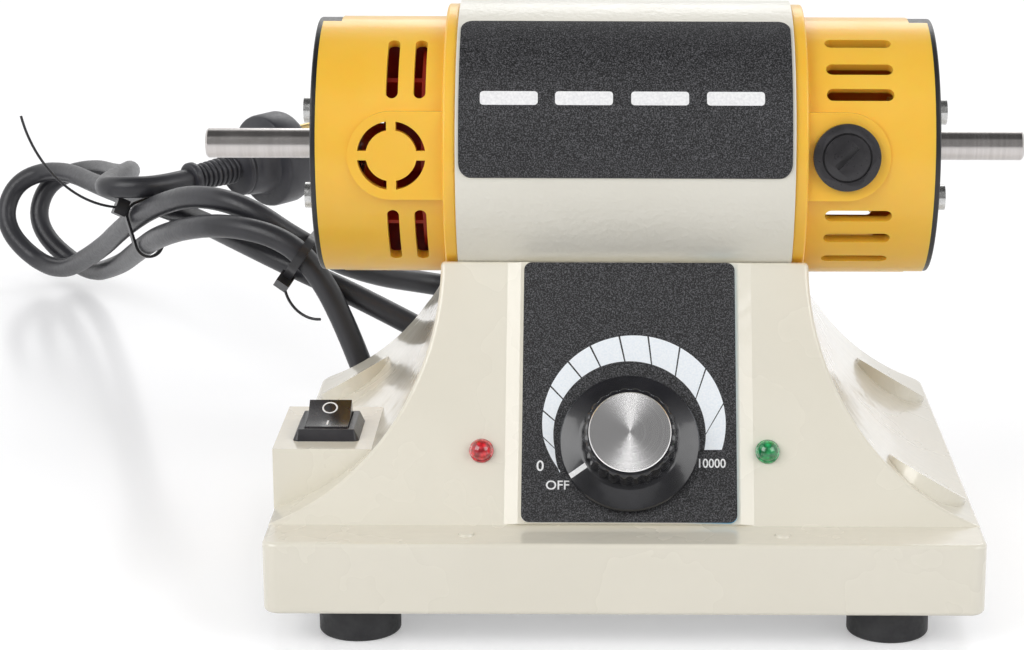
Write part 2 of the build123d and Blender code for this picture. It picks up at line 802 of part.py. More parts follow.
# Shaft with a flat on its right end, stepped down where it leaves the end plates
shoulder_x = cap_end + end_plate_thick + 2 * slip
with BuildPart() as motor_shaft:
    with BuildSketch(motor_side):
        with BuildLine():
            Polyline(
                (-left_reach, 0),
                (-left_reach, shaft_radius - shaft_chamfer),
                (-left_reach + shaft_chamfer, shaft_radius),
                (-shoulder_x, shaft_radius),
                (-shoulder_x, journal_radius),
                (-bearing_seat, journal_radius),
                (-bearing_seat, shaft_mid_radius),
                (bearing_seat, shaft_mid_radius),
                (bearing_seat, journal_radius),
                (shoulder_x, journal_radius),
                (shoulder_x, shaft_radius),
                (right_reach - shaft_chamfer, shaft_radius),
                (right_reach, shaft_radius - shaft_chamfer),
                (right_reach, 0),
                close=True,
            )
        make_face()
    revolve(axis=motor_axis)
motor_shaft.part.label = "motor_shaft"
export_step(motor_shaft.part, "parts/motor_shaft.step")

# Two ball bearings in the hubs of the end caps
ball_ring = (journal_radius + bearing_radius) / 2
with BuildPart() as bearing_outer_rings:
    for side in (-1, 1):
        with BuildSketch(across(side * bearing_seat)):
            Circle(bearing_radius)
            Circle(ball_ring + ring_gap, mode=Mode.SUBTRACT)
        extrude(amount=side * bearing_width)
        with BuildSketch(motor_side):
            with Locations((side * (bearing_seat + bearing_width / 2), ball_ring)):
                Circle(ball_radius + running)
        revolve(axis=motor_axis, mode=Mode.SUBTRACT)
bearing_outer_rings.part.label = "bearing_outer_rings"
export_step(bearing_outer_rings.part, "parts/bearing_outer_rings.step")

with BuildPart() as bearing_inner_rings:
    for side in (-1, 1):
        with BuildSketch(across(side * bearing_seat)):
            Circle(ball_ring - ring_gap)
            Circle(journal_radius, mode=Mode.SUBTRACT)
        extrude(amount=side * bearing_width)
        with BuildSketch(motor_side):
            with Locations((side * (bearing_seat + bearing_width / 2), ball_ring)):
                Circle(ball_radius + running)
        revolve(axis=motor_axis, mode=Mode.SUBTRACT)
bearing_inner_rings.part.label = "bearing_inner_rings"
export_step(bearing_inner_rings.part, "parts/bearing_inner_rings.step")

with BuildPart() as bearing_balls:
    for side in (-1, 1):
        with Locations(across(side * (bearing_seat + bearing_width / 2))):
            with PolarLocations(ball_ring, ball_count):
                Sphere(ball_radius)
bearing_balls.part.label = "bearing_balls"
export_step(bearing_balls.part, "parts/bearing_balls.step")

# Rotor: slotted core, windings, commutator and fan
slot_bottom = core_radius - core_slot_depth
with BuildPart() as armature_core:
    with BuildSketch(across(-core_length / 2)):
        Circle(core_radius)
        Circle(shaft_mid_radius + running, mode=Mode.SUBTRACT)
        with PolarLocations((slot_bottom + core_radius + 1) / 2, core_slots):
            Rectangle(core_slot_depth + 1, core_slot_width, mode=Mode.SUBTRACT)
    extrude(amount=core_length)
armature_core.part.label = "armature_core"
export_step(armature_core.part, "parts/armature_core.step")

with BuildPart() as armature_windings:
    with BuildSketch(motor_side):
        for side in (-1, 1):
            with BuildLine():
                Polyline(
                    (side * core_length / 2, shaft_mid_radius + 2),
                    (side * core_length / 2, core_radius - 1.5),
                    (side * (core_length / 2 + winding_reach - 3), core_radius - 2.5),
                    (side * (core_length / 2 + winding_reach), core_radius - 6),
                    (side * (core_length / 2 + winding_reach), shaft_mid_radius + 6),
                    (side * (core_length / 2 + winding_reach + 8), shaft_mid_radius + 4),
                    (side * (core_length / 2 + winding_reach + 8), shaft_mid_radius + 2),
                    close=True,
                )
            make_face()
    revolve(axis=motor_axis)
    with BuildSketch(across(-core_length / 2 - 1)):
        with PolarLocations((slot_bottom + core_radius - 1) / 2, core_slots):
            Rectangle(core_slot_depth - 1.4, core_slot_width - 4 * slip)
    extrude(amount=core_length + 2)
armature_windings.part.label = "armature_windings"
export_step(armature_windings.part, "parts/armature_windings.step")

with BuildPart() as commutator:
    with BuildSketch(across(seat_x - commutator_length / 2)):
        Circle(commutator_radius)
        Circle(shaft_mid_radius, mode=Mode.SUBTRACT)
        with PolarLocations(commutator_radius, commutator_bars):
            Rectangle(3, 0.6, mode=Mode.SUBTRACT)
    extrude(amount=commutator_length)
commutator.part.label = "commutator"
export_step(commutator.part, "parts/commutator.step")

with BuildPart() as cooling_fan:
    with BuildSketch(across(-fan_inner_end)):
        Circle(fan_radius)
        Circle(shaft_mid_radius, mode=Mode.SUBTRACT)
    extrude(amount=-2)
    with BuildSketch(across(-fan_inner_end)):
        Circle(2 * shaft_mid_radius)
        Circle(shaft_mid_radius, mode=Mode.SUBTRACT)
        with PolarLocations((shaft_mid_radius + fan_radius) / 2 + 2, fan_blades):
            Rectangle(fan_radius - shaft_mid_radius - 6, 1.6)
    extrude(amount=-fan_length)
cooling_fan.part.label = "cooling_fan"
export_step(cooling_fan.part, "parts/cooling_fan.step")

# Two field magnets on the inside of the frame, above and below
magnet_outer = frame_radius - frame_wall
magnet_far = 1.2 * frame_radius
magnet_side = magnet_far * tan(radians((180 - magnet_span) / 2))
with BuildPart() as magnets:
    with BuildSketch(across(-magnet_length / 2)):
        with PolarLocations(0, 2, start_angle=90):
            Polygon(
                (0, 0), (magnet_side, -magnet_far), (magnet_far, -magnet_far),
                (magnet_far, magnet_far), (magnet_side, magnet_far), align=None,
            )
        Circle(magnet_outer, mode=Mode.INTERSECT)
        Circle(magnet_outer - magnet_thick, mode=Mode.SUBTRACT)
    extrude(amount=magnet_length)
magnets.part.label = "magnets"
export_step(magnets.part, "parts/magnets.step")

# Brush gear: holders, brushes, springs and screwed caps
holder_foot = commutator_radius + 4
holder_head = cap_radius + seat_height
holder_step = holder_head - 10
with BuildPart() as brush_holders:
    for half in (0, 180):
        with BuildSketch(facing(seat_x, half, holder_foot)):
            Circle(holder_radius)
            Rectangle(brush_depth + 2 * slip, brush_width + 2 * slip, mode=Mode.SUBTRACT)
        extrude(amount=holder_head - holder_foot)
        with BuildSketch(facing(seat_x, half, holder_step)):
            Circle(holder_radius - 1.8)
        extrude(amount=holder_head - holder_step, mode=Mode.SUBTRACT)
brush_holders.part.label = "brush_holders"
export_step(brush_holders.part, "parts/brush_holders.step")

with BuildPart() as carbon_brushes:
    for half in (0, 180):
        with BuildSketch(facing(seat_x, half, commutator_radius - 1)):
            Rectangle(brush_depth, brush_width)
        extrude(amount=brush_length + 1)
    with BuildSketch(across(seat_x - brush_depth)):
        Circle(commutator_radius + brush_gap)
    extrude(amount=2 * brush_depth, mode=Mode.SUBTRACT)
carbon_brushes.part.label = "carbon_brushes"
export_step(carbon_brushes.part, "parts/carbon_brushes.step")

brush_back = commutator_radius + brush_length
plug_foot = holder_head - 7
with BuildPart() as brush_springs:
    for half in (0, 180):
        with BuildSketch(facing(seat_x, half, brush_back)):
            Circle(3.0)
            Circle(2.4, mode=Mode.SUBTRACT)
        extrude(amount=plug_foot - brush_back)
brush_springs.part.label = "brush_springs"
export_step(brush_springs.part, "parts/brush_springs.step")

with BuildPart() as brush_caps:
    for half in (0, 180):
        with BuildSketch(facing(seat_x, half, plug_foot)):
            Circle(holder_radius - 1.9)
        extrude(amount=holder_head - plug_foot)
        with BuildSketch(facing(seat_x, half, holder_head)):
            Circle(brush_cap_radius)
        extrude(amount=brush_cap_height)
        with BuildSketch(facing(seat_x, half, holder_head + brush_cap_height)):
            Circle(8.0)
            Circle(7.4, mode=Mode.SUBTRACT)
            Rectangle(9.5, 1.9, rotation=45)
        extrude(amount=-brush_cap_height / 2, mode=Mode.SUBTRACT)
brush_caps.part.label = "brush_caps"
export_step(brush_caps.part, "parts/brush_caps.step")

# Control plate on the raised land of the panel
plate_top = land_height + plate_thick
plate_middle = plate_rise + plate_length / 2
with BuildPart() as control_plate:
    with BuildSketch(panel.offset(land_height)):
        with Locations((plate_shift, plate_middle)):
            RectangleRounded(plate_width, plate_length, plate_corner)
        with Locations((knob_x, knob_rise)):
            Circle(bushing_radius + slip, mode=Mode.SUBTRACT)
    extrude(amount=plate_thick)
control_plate.part.label = "control_plate"
export_step(control_plate.part, "parts/control_plate.step")

# Speed control: body behind the panel, threaded neck and nut through it
pot_front = -wall
knob_foot = plate_top + knob_gap
knob_top = knob_foot + grip_height
with BuildPart() as potentiometer:
    with BuildSketch(on_panel(knob_x, knob_rise, pot_front)):
        Circle(pot_radius)
    extrude(amount=-pot_depth)
    with BuildSketch(on_panel(knob_x, knob_rise, pot_front)):
        Circle(bushing_radius)
    extrude(amount=bushing_length + land_height + plate_thick)
    with BuildSketch(on_panel(knob_x, knob_rise, pot_front - pot_depth / 2)):
        Circle(pot_shaft_radius + running)
    extrude(amount=4 * pot_depth, mode=Mode.SUBTRACT)
potentiometer.part.label = "potentiometer"
export_step(potentiometer.part, "parts/potentiometer.step")

with BuildPart() as pot_nut:
    with BuildSketch(on_panel(knob_x, knob_rise, plate_top)):
        RegularPolygon(pot_nut_width / 2, 6, major_radius=False)
        Circle(bushing_radius, mode=Mode.SUBTRACT)
    extrude(amount=pot_nut_thick)
pot_nut.part.label = "pot_nut"
export_step(pot_nut.part, "parts/pot_nut.step")

with BuildPart() as pot_shaft:
    with BuildSketch(on_panel(knob_x, knob_rise, pot_front - pot_depth / 2)):
        Circle(pot_shaft_radius)
    extrude(amount=pot_depth / 2 - pot_front + knob_top - 3)
pot_shaft.part.label = "pot_shaft"
export_step(pot_shaft.part, "parts/pot_shaft.step")

# Knob: wide skirt, fluted grip, metal disc and a pointer let into the skirt
with BuildPart() as knob:
    knob_side = Plane(origin=on_panel(knob_x, knob_rise).origin, x_dir=(1, 0, 0), z_dir=-panel.y_dir)
    with BuildSketch(knob_side):
        with BuildLine():
            Polyline(
                (0, knob_foot),
                (knob_radius, knob_foot),
                (knob_radius, knob_foot + skirt_edge),
                (grip_radius + 0.3, knob_foot + skirt_height),
                (grip_radius, knob_foot + skirt_height),
                (grip_radius - 0.6, knob_top - 1),
                (grip_radius - 1.6, knob_top),
                (0, knob_top),
                close=True,
            )
        make_face()
    revolve(axis=Axis(knob_side.origin, panel.z_dir))
    with BuildSketch(on_panel(knob_x, knob_rise, knob_foot + skirt_height)):
        with PolarLocations(grip_radius + 0.4, grip_flutes):
            Circle(1.1)
    extrude(amount=grip_height, mode=Mode.SUBTRACT)
    with BuildSketch(on_panel(knob_x, knob_rise, knob_foot)):
        Circle(pot_nut_width - 2)
    extrude(amount=skirt_height - 1, mode=Mode.SUBTRACT)
    with BuildSketch(on_panel(knob_x, knob_rise, knob_foot)):
        Circle(pot_shaft_radius)
    extrude(amount=grip_height - 3, mode=Mode.SUBTRACT)
    with BuildSketch(on_panel(knob_x, knob_rise, knob_top)):
        Circle(cap_disc_radius + running)
    extrude(amount=-cap_disc_thick / 2, mode=Mode.SUBTRACT)
knob.part.label = "knob"
export_step(knob.part, "parts/knob.step")

with BuildPart() as knob_cap:
    with BuildSketch(on_panel(knob_x, knob_rise, knob_top - cap_disc_thick / 2)):
        Circle(cap_disc_radius)
    extrude(amount=cap_disc_thick)
    chamfer(knob_cap.edges().sort_by(panel_axis)[-1], length=0.3)
knob_cap.part.label = "knob_cap"
export_step(knob_cap.part, "parts/knob_cap.step")

with BuildPart() as knob_pointer:
    with BuildSketch(Plane(origin=on_panel(knob_x, knob_rise, 0.25).origin, x_dir=(1, 0, 0), z_dir=-panel.y_dir)):
        with BuildLine():
            Polyline(
                (0, knob_foot),
                (knob_radius, knob_foot),
                (knob_radius, knob_foot + skirt_edge),
                (grip_radius + 0.3, knob_foot + skirt_height),
                (0, knob_foot + skirt_height),
                close=True,
            )
        make_face()
    revolve(axis=Axis(knob_side.origin, panel.z_dir))
    pointer_angle = radians(pointer_turn)
    pointer_middle = pointer_start + pointer_length / 2
    with BuildSketch(
        on_panel(
            knob_x + pointer_middle * cos(pointer_angle),
            knob_rise + pointer_middle * sin(pointer_angle),
            knob_foot + 0.4,
        )
    ):
        Rectangle(pointer_length, pointer_width, rotation=pointer_turn)
    extrude(amount=grip_height, mode=Mode.INTERSECT)
    add(knob.part, mode=Mode.SUBTRACT)
knob_pointer.part.label = "knob_pointer"
export_step(knob_pointer.part, "parts/knob_pointer.step")


# Indicator lamps beside the plate
with BuildPart() as lamp_red:
    with BuildSketch(on_panel(-lamp_spacing / 2, lamp_rise)):
        Circle(lamp_radius)
    extrude(amount=1.2)
    with BuildSketch(on_panel(-lamp_spacing / 2, lamp_rise)):
        Circle(lamp_stem_radius)
    extrude(amount=-lamp_depth)
    with Locations(on_panel(-lamp_spacing / 2, lamp_rise, lamp_dome - lamp_radius)):
        Sphere(lamp_radius - 0.3, arc_size1=0)
lamp_red.part.label = "lamp_red"
export_step(lamp_red.part, "parts/lamp_red.step")

with BuildPart() as lamp_green:
    with BuildSketch(on_panel(lamp_spacing / 2, lamp_rise)):
        Circle(lamp_radius)
    extrude(amount=1.2)
    with BuildSketch(on_panel(lamp_spacing / 2, lamp_rise)):
        Circle(lamp_stem_radius)
    extrude(amount=-lamp_depth)
    with Locations(on_panel(lamp_spacing / 2, lamp_rise, lamp_dome - lamp_radius)):
        Sphere(lamp_radius - 0.3, arc_size1=0)
lamp_green.part.label = "lamp_green"
export_step(lamp_green.part, "parts/lamp_green.step")

# Mains switch: body with its bezel, rocker with the front half pressed, and terminals
rocker_pivot_z = switch_z + rocker_pivot
rocker_half = rocker_length / 2
with BuildPart() as switch_body:
    with BuildSketch(Plane.XY.offset(switch_z)):
        with Locations((switch_x, switch_y)):
            RectangleRounded(bezel_width, bezel_length, bezel_corner)
    extrude(amount=bezel_height, taper=bezel_slope)
    with BuildSketch(Plane.XY.offset(switch_z)):
        with Locations((switch_x, switch_y)):
            Rectangle(switch_body_width, switch_body_length)
    extrude(amount=-switch_body_depth)
    with BuildSketch(Plane.XY.offset(switch_z - 4.2)):
        with Locations((switch_x, switch_y)):
            Rectangle(rocker_width + 2 * rocker_gap, rocker_length + 2 * rocker_gap)
    extrude(amount=2 * bezel_height + 4.2, mode=Mode.SUBTRACT)
    with BuildSketch(Plane.YZ.offset(switch_x)):
        with Locations((switch_y, rocker_pivot_z)):
            Circle(1.3)
    extrude(amount=rocker_width / 2 + 1.8, both=True, mode=Mode.SUBTRACT)
switch_body.part.label = "switch_body"
export_step(switch_body.part, "parts/switch_body.step")

rocker_tilt = radians(rocker_throw / 2)
rocker_side = Plane(
    origin=(switch_x, switch_y, rocker_pivot_z),
    x_dir=(0, cos(rocker_tilt), sin(rocker_tilt)),
    z_dir=(1, 0, 0),
)
crest = rocker_valley + rocker_half * tan(rocker_tilt)
with BuildPart() as switch_rocker:
    with BuildSketch(rocker_side):
        Polygon((-12, -3), (12, -3), (12, crest + 0.5), (rocker_half, crest), (0, rocker_valley),
                (-rocker_half, crest), (-12, crest + 0.5), align=None)
        Circle(rocker_reach, mode=Mode.INTERSECT)
    extrude(amount=rocker_width / 2, both=True)
    with BuildSketch(rocker_side):
        Circle(1.2)
    extrude(amount=rocker_width / 2 + 1.5, both=True)
switch_rocker.part.label = "switch_rocker"
export_step(switch_rocker.part, "parts/switch_rocker.step")

with BuildPart() as switch_terminals:
    with BuildSketch(Plane.XY.offset(switch_z - switch_body_depth)):
        with Locations((switch_x, switch_y)):
            with GridLocations(9.6, 13.0, 2, 2):
                Rectangle(0.8, 4.8)
    extrude(amount=-terminal_length)
switch_terminals.part.label = "switch_terminals"
export_step(switch_terminals.part, "parts/switch_terminals.step")

# Speed control board on standoffs above the bottom plate
board_z = foot_height + bottom_thick + standoff_height
with BuildPart() as board_standoffs:
    with BuildSketch(Plane.XY.offset(foot_height + bottom_thick)):
        with Locations((board_x, board_y)):
            with GridLocations(board_hole_x, board_hole_y, 2, 2):
                Circle(standoff_radius)
                Circle(side_screw_radius + running, mode=Mode.SUBTRACT)
    extrude(amount=standoff_height)
board_standoffs.part.label = "board_standoffs"
export_step(board_standoffs.part, "parts/board_standoffs.step")

with BuildPart() as control_board:
    with BuildSketch(Plane.XY.offset(board_z)):
        with Locations((board_x, board_y)):
            Rectangle(board_length, board_width)
            with GridLocations(board_hole_x, board_hole_y, 2, 2):
                Circle(side_screw_radius + slip, mode=Mode.SUBTRACT)
    extrude(amount=board_thick)
control_board.part.label = "control_board"
export_step(control_board.part, "parts/control_board.step")

with BuildPart() as board_components:
    board_top = Plane(origin=(board_x, board_y, board_z + board_thick))
    with BuildSketch(board_top):
        with Locations((-part_spacing, board_width / 12)):
            Circle(capacitor_radius)
    extrude(amount=capacitor_height)
    with BuildSketch(board_top):
        with Locations((0, board_width / 12)):
            RectangleRounded(choke_width, choke_length, choke_width / 5)
    extrude(amount=choke_height)
    with BuildSketch(board_top):
        with Locations((part_spacing, board_width / 12)):
            Rectangle(sink_thick, sink_length)
    extrude(amount=sink_height)
    with BuildSketch(board_top):
        with Locations((0, -board_width / 3)):
            Rectangle(block_length, block_width)
    extrude(amount=block_height)
board_components.part.label = "board_components"
export_step(board_components.part, "parts/board_components.step")

with BuildPart() as board_screws:
    with BuildSketch(Plane.XY.offset(board_z + board_thick)):
        with Locations((board_x, board_y)):
            with GridLocations(board_hole_x, board_hole_y, 2, 2):
                Circle(2 * side_screw_radius)
    extrude(amount=1.6)
    with BuildSketch(Plane.XY.offset(board_z + board_thick)):
        with Locations((board_x, board_y)):
            with GridLocations(board_hole_x, board_hole_y, 2, 2):
                Circle(side_screw_radius)
    extrude(amount=-board_thick - standoff_height - bottom_thick)
board_screws.part.label = "board_screws"
export_step(board_screws.part, "parts/board_screws.step")

# Strain relief of the mains lead in the back wall
gland_tip = back_y + sleeve_length
gland_side = Plane(origin=(gland_x, 0, gland_z), x_dir=(0, 1, 0), z_dir=(1, 0, 0))
with BuildPart() as cord_strain_relief:
    with BuildSketch(gland_side):
        with BuildLine():
            Polyline(
                (back_y - wall - 3, 0),
                (back_y - wall - 3, gland_flange - 1),
                (back_y - wall, gland_flange - 1),
                (back_y - wall, gland_neck),
                (back_y, gland_neck),
                (back_y, gland_flange),
                (back_y + 2.5, gland_flange),
                (back_y + 2.5, sleeve_root),
                (gland_tip, sleeve_tip),
                (gland_tip, 0),
                close=True,
            )
        make_face()
        for ring in range(6):
            with Locations((back_y + 5.5 + 3.6 * ring, sleeve_root + 0.4)):
                Rectangle(1.6, 3.2, mode=Mode.SUBTRACT)
    revolve(axis=Axis((gland_x, 0, gland_z), (0, 1, 0)))
cord_strain_relief.part.label = "cord_strain_relief"
export_step(cord_strain_relief.part, "parts/cord_strain_relief.step")

# Mains lead. It leaves the strain relief, and its spare length is folded four times between the
# floor behind the base and two loops on the left, ending at the plug.
lead_points = [(gland_x, gland_tip, gland_z), (gland_x, 160, gland_z), (-72, 182, 50), (-104, 154, 62)]
first_pass = [(-127, 137, 79), (-145, 137, 92), (-166, 151, 94), (-188, 185, 83), (-211, 236, 63), (-238, 318, 33)]
second_pass = [(-235, 330, 58.5), (-203, 240, 72.5), (-172, 178, 78.5), (-149, 147, 76), (-128, 131, 70), (-103, 125, 60)]
floor_fold = [(-56, 120, 36), (-56, 118, 14.5), (-72, 116, 3), (-91, 114, 8.5)]
third_pass = [(-108, 116, 56), (-120, 118, 75.5), (-131, 120.5, 83.5), (-147, 126.5, 86.5), (-164.5, 140, 84)]
third_pass += [(-187, 180, 71), (-206.5, 240, 51), (-229, 318, 26)]
plug_run = [(-232, 347, 62), (-213, 275, 80), (-217.5, 215, 83.5), (-207, 203.5, 86), (-191.2, 203.7, 86)]
plug_run += [(-180, 215, 87)]


def left_loop(x, y, z):
    """Corners of one upright loop of the hank, from the floor round the left and back."""
    return [(x + 9, y - 10, z - 21.5), (x - 18, y, z - 1), (x - 13.5, y + 9, z + 21), (x + 10, y + 6, z + 29)]


def bend_radii(points):
    """Largest radius that each corner of a run of points takes with nine tenths of its runs."""
    radii = []
    for before, corner, after in zip(points, points[1:], points[2:]):
        come = Vector(*corner) - Vector(*before)
        leave = Vector(*after) - Vector(*corner)
        half_turn = radians(come.get_angle(leave)) / 2
        radii.append(0.45 * min(come.length, leave.length) / tan(half_turn))
    return radii


join_a = Vector(*lead_points[-1])
join_b = Vector(*first_pass[0])
cord_join = tuple((join_a + join_b) / 2)
free_points = lead_points + [cord_join]
hank_points = (
    [cord_join] + first_pass + left_loop(-282, 394, 26.5) + second_pass + floor_fold
    + third_pass + left_loop(-268, 403, 25) + plug_run
)

with BuildPart() as power_cord:
    with BuildLine() as free_line:
        FilletPolyline(*free_points, radius=bend_radii(free_points))
    with BuildSketch(Plane(origin=free_points[0], z_dir=(0, 1, 0))):
        Circle(cord_radius)
    sweep(path=free_line.line)
power_cord.part.label = "power_cord"
export_step(power_cord.part, "parts/power_cord.step")

with BuildPart() as cord_hank:
    with BuildLine() as hank_line:
        FilletPolyline(*hank_points, radius=bend_radii(hank_points))
    with BuildSketch(Plane(origin=hank_points[0], z_dir=join_b - join_a)):
        Circle(cord_radius)
    sweep(path=hank_line.line)
cord_hank.part.label = "cord_hank"
export_step(cord_hank.part, "parts/cord_hank.step")

# Bends and the least gap of the lead to itself, measured on points along it
bends = bend_radii(free_points) + bend_radii(hank_points)
print("bend radii", [round(bend, 1) for bend in bends])
hank_wire = hank_line.wires()[0]
samples = int(hank_wire.length / 3)
walk = [hank_wire.position_at(i / samples) for i in range(samples + 1)]
apart = int(12 * cord_radius / 3)
least = min(
    (walk[i] - walk[j]).length for i in range(len(walk)) for j in range(i + apart, len(walk))
) - 2 * cord_radius
print("lead length", round(free_line.wires()[0].length + hank_wire.length), "least gap", round(least, 2))

# Plug: ribbed sleeve, body and round head, with two pins
plug_entry = Vector(*plug_run[-1])
plug_axis = (plug_entry - Vector(*plug_run[-2])).normalized()
plug_side = Plane(origin=plug_entry, x_dir=plug_axis, z_dir=plug_axis.cross(Vector(0, 0, 1)))
plug_ribs = 8
with BuildPart() as plug_body:
    with BuildSketch(plug_side):
        with BuildLine():
            Polyline(
                (0, 0),
                (0, plug_collar - 0.8),
                (0.8, plug_collar),
                (plug_collar_width - 0.8, plug_collar),
                (plug_collar_width, plug_collar - 0.8),
                (plug_collar_width, plug_sleeve_radius),
                (plug_sleeve, plug_sleeve_radius + 0.8),
                (plug_sleeve, plug_waist - 1),
                (plug_sleeve + 1, plug_waist),
                (plug_shoulder, plug_waist + 2),
                (plug_shoulder + 0.6, plug_head - 1),
                (plug_shoulder + 1.8, plug_head),
                (plug_length - 2, plug_head),
                (plug_length, plug_head - 2),
                (plug_length, 0),
                close=True,
            )
        make_face()
        for rib in range(plug_ribs):
            reach = plug_collar_width + (rib + 0.5) * (plug_sleeve - plug_collar_width) / plug_ribs
            with Locations((reach, plug_sleeve_radius + 1.5)):
                Rectangle(1.1, 5.0, mode=Mode.SUBTRACT)
    revolve(axis=Axis(plug_entry, plug_axis))
    with BuildSketch(Plane(origin=plug_entry + plug_axis * plug_length, x_dir=plug_side.y_dir, z_dir=plug_axis)):
        with Locations((-pin_spacing / 2, 0), (pin_spacing / 2, 0)):
            Circle(pin_radius)
    extrude(amount=-8, mode=Mode.SUBTRACT)
plug_body.part.label = "plug_body"
export_step(plug_body.part, "parts/plug_body.step")

with BuildPart() as plug_pins:
    with BuildSketch(Plane(origin=plug_entry + plug_axis * (plug_length - 8), x_dir=plug_side.y_dir, z_dir=plug_axis)):
        with Locations((-pin_spacing / 2, 0), (pin_spacing / 2, 0)):
            Circle(pin_radius)
    extrude(amount=pin_length + 8)
    chamfer(plug_pins.edges().group_by(Axis(plug_entry, plug_axis))[-1], length=0.8)
plug_pins.part.label = "plug_pins"
export_step(plug_pins.part, "parts/plug_pins.step")


def strand_at(plane, start, end):
    """Where a straight run of the lead crosses a plane, in that plane's own x and y."""
    near = plane.to_local_coords(Vector(*start))
    far = plane.to_local_coords(Vector(*end))
    share = near.Z / (near.Z - far.Z)
    return (near.X + share * (far.X - near.X), near.Y + share * (far.Y - near.Y))


# Two cable ties round the folded lead, each with its head and its loose tail
left_tie = Plane(origin=(-200, 212, 67), x_dir=(0.92, 0.39, 0), z_dir=(-0.38, 0.89, -0.24))
left_strands = [
    strand_at(left_tie, first_pass[3], first_pass[4]),
    strand_at(left_tie, second_pass[1], second_pass[2]),
    strand_at(left_tie, third_pass[5], third_pass[6]),
]
right_tie = Plane(origin=(-124, 130, 74), x_dir=(-0.2, 0.97, -0.1), z_dir=(-0.8, 0.05, 0.55))
right_strands = [
    strand_at(right_tie, lead_points[3], first_pass[0]),
    strand_at(right_tie, second_pass[4], second_pass[5]),
    strand_at(right_tie, third_pass[1], third_pass[2]),
]
ties = (
    (left_tie, left_strands, left_tie_gap, (-7.8, -9.2), 28, (-226, 195, 87), (-243, 190, 118)),
    (right_tie, right_strands, right_tie_gap, (-5.0, 11.4), 115, (-123, 121, 53), (-116, 118, 52)),
)
with BuildPart() as cable_ties:
    for tie, strands, tie_gap, head, turn, tail_middle, tail_end in ties:
        with BuildSketch(tie):
            with Locations(strands):
                Circle(cord_radius + tie_gap + tie_thick)
            make_hull()
        extrude(amount=tie_width / 2, both=True)
    for tie, strands, tie_gap, head, turn, tail_middle, tail_end in ties:
        with BuildSketch(tie):
            with Locations(strands):
                Circle(cord_radius + tie_gap)
            make_hull()
        extrude(amount=tie_width, both=True, mode=Mode.SUBTRACT)
    for tie, strands, tie_gap, head, turn, tail_middle, tail_end in ties:
        with BuildSketch(tie):
            with Locations(head):
                Rectangle(5, 7, rotation=turn)
        extrude(amount=tie_width / 2 + 1, both=True)
        with BuildLine() as tail:
            ThreePointArc(tie.from_local_coords((head[0], head[1], 0)), tail_middle, tail_end)
        with BuildSketch(Plane(origin=tail.line @ 0, z_dir=tail.line % 0)):
            Circle(tie_thick / 2)
        sweep(path=tail.line)
cable_ties.part.label = "cable_ties"
export_step(cable_ties.part, "parts/cable_ties.step")
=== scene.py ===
import bpy
from math import atan2, cos, hypot, pi, radians, sin
from mathutils import Matrix, Vector


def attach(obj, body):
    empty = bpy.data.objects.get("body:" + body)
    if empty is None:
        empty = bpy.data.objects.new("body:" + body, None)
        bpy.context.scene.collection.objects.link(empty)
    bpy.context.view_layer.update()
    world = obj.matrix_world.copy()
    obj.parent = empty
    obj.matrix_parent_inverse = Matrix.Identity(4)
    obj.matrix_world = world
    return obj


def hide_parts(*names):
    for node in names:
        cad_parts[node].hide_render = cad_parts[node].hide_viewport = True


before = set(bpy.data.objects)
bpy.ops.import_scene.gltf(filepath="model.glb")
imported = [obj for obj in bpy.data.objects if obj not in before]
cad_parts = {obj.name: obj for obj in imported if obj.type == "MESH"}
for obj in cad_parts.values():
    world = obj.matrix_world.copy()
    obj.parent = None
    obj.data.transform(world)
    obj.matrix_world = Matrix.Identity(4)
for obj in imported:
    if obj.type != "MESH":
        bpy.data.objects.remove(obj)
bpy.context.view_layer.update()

# The buffer is seen from the front with a long lens, from a little above its motor. The camera is
# level but for a fifth of a degree, and its frame is set off so that the folded lead fits on the
# left of the machine.
bpy.ops.object.select_all(action="DESELECT")
bpy.ops.object.camera_add(location=(-0.0058, -0.8857, 0.3097))
camera = bpy.context.object
camera_tilt = Matrix.Rotation(radians(75.5), 3, "X")
camera_roll = Matrix.Rotation(radians(0.2), 3, "Z")
camera.rotation_euler = (camera_tilt @ camera_roll).to_euler()
camera.data.lens = 94.7
camera.data.sensor_width = 36
camera.data.shift_x = -0.0925
camera.data.clip_end = 30
bpy.context.scene.camera = camera
bpy.context.scene.view_settings.view_transform = "Standard"

# Table: a plain white sheet with a faint gloss, which keeps the soft shadow of the machine. Its
# own white is lifted where the camera, a gloss or a lens sees it, and no light comes from it.
def maths(tree, operation, first, second):
    """Two values of a node tree worked into one. The second may be a plain number."""
    node = tree.nodes.new("ShaderNodeMath")
    node.operation = operation
    tree.links.new(first, node.inputs[0])
    if isinstance(second, float):
        node.inputs[1].default_value = second
    else:
        tree.links.new(second, node.inputs[1])
    return node.outputs[0]


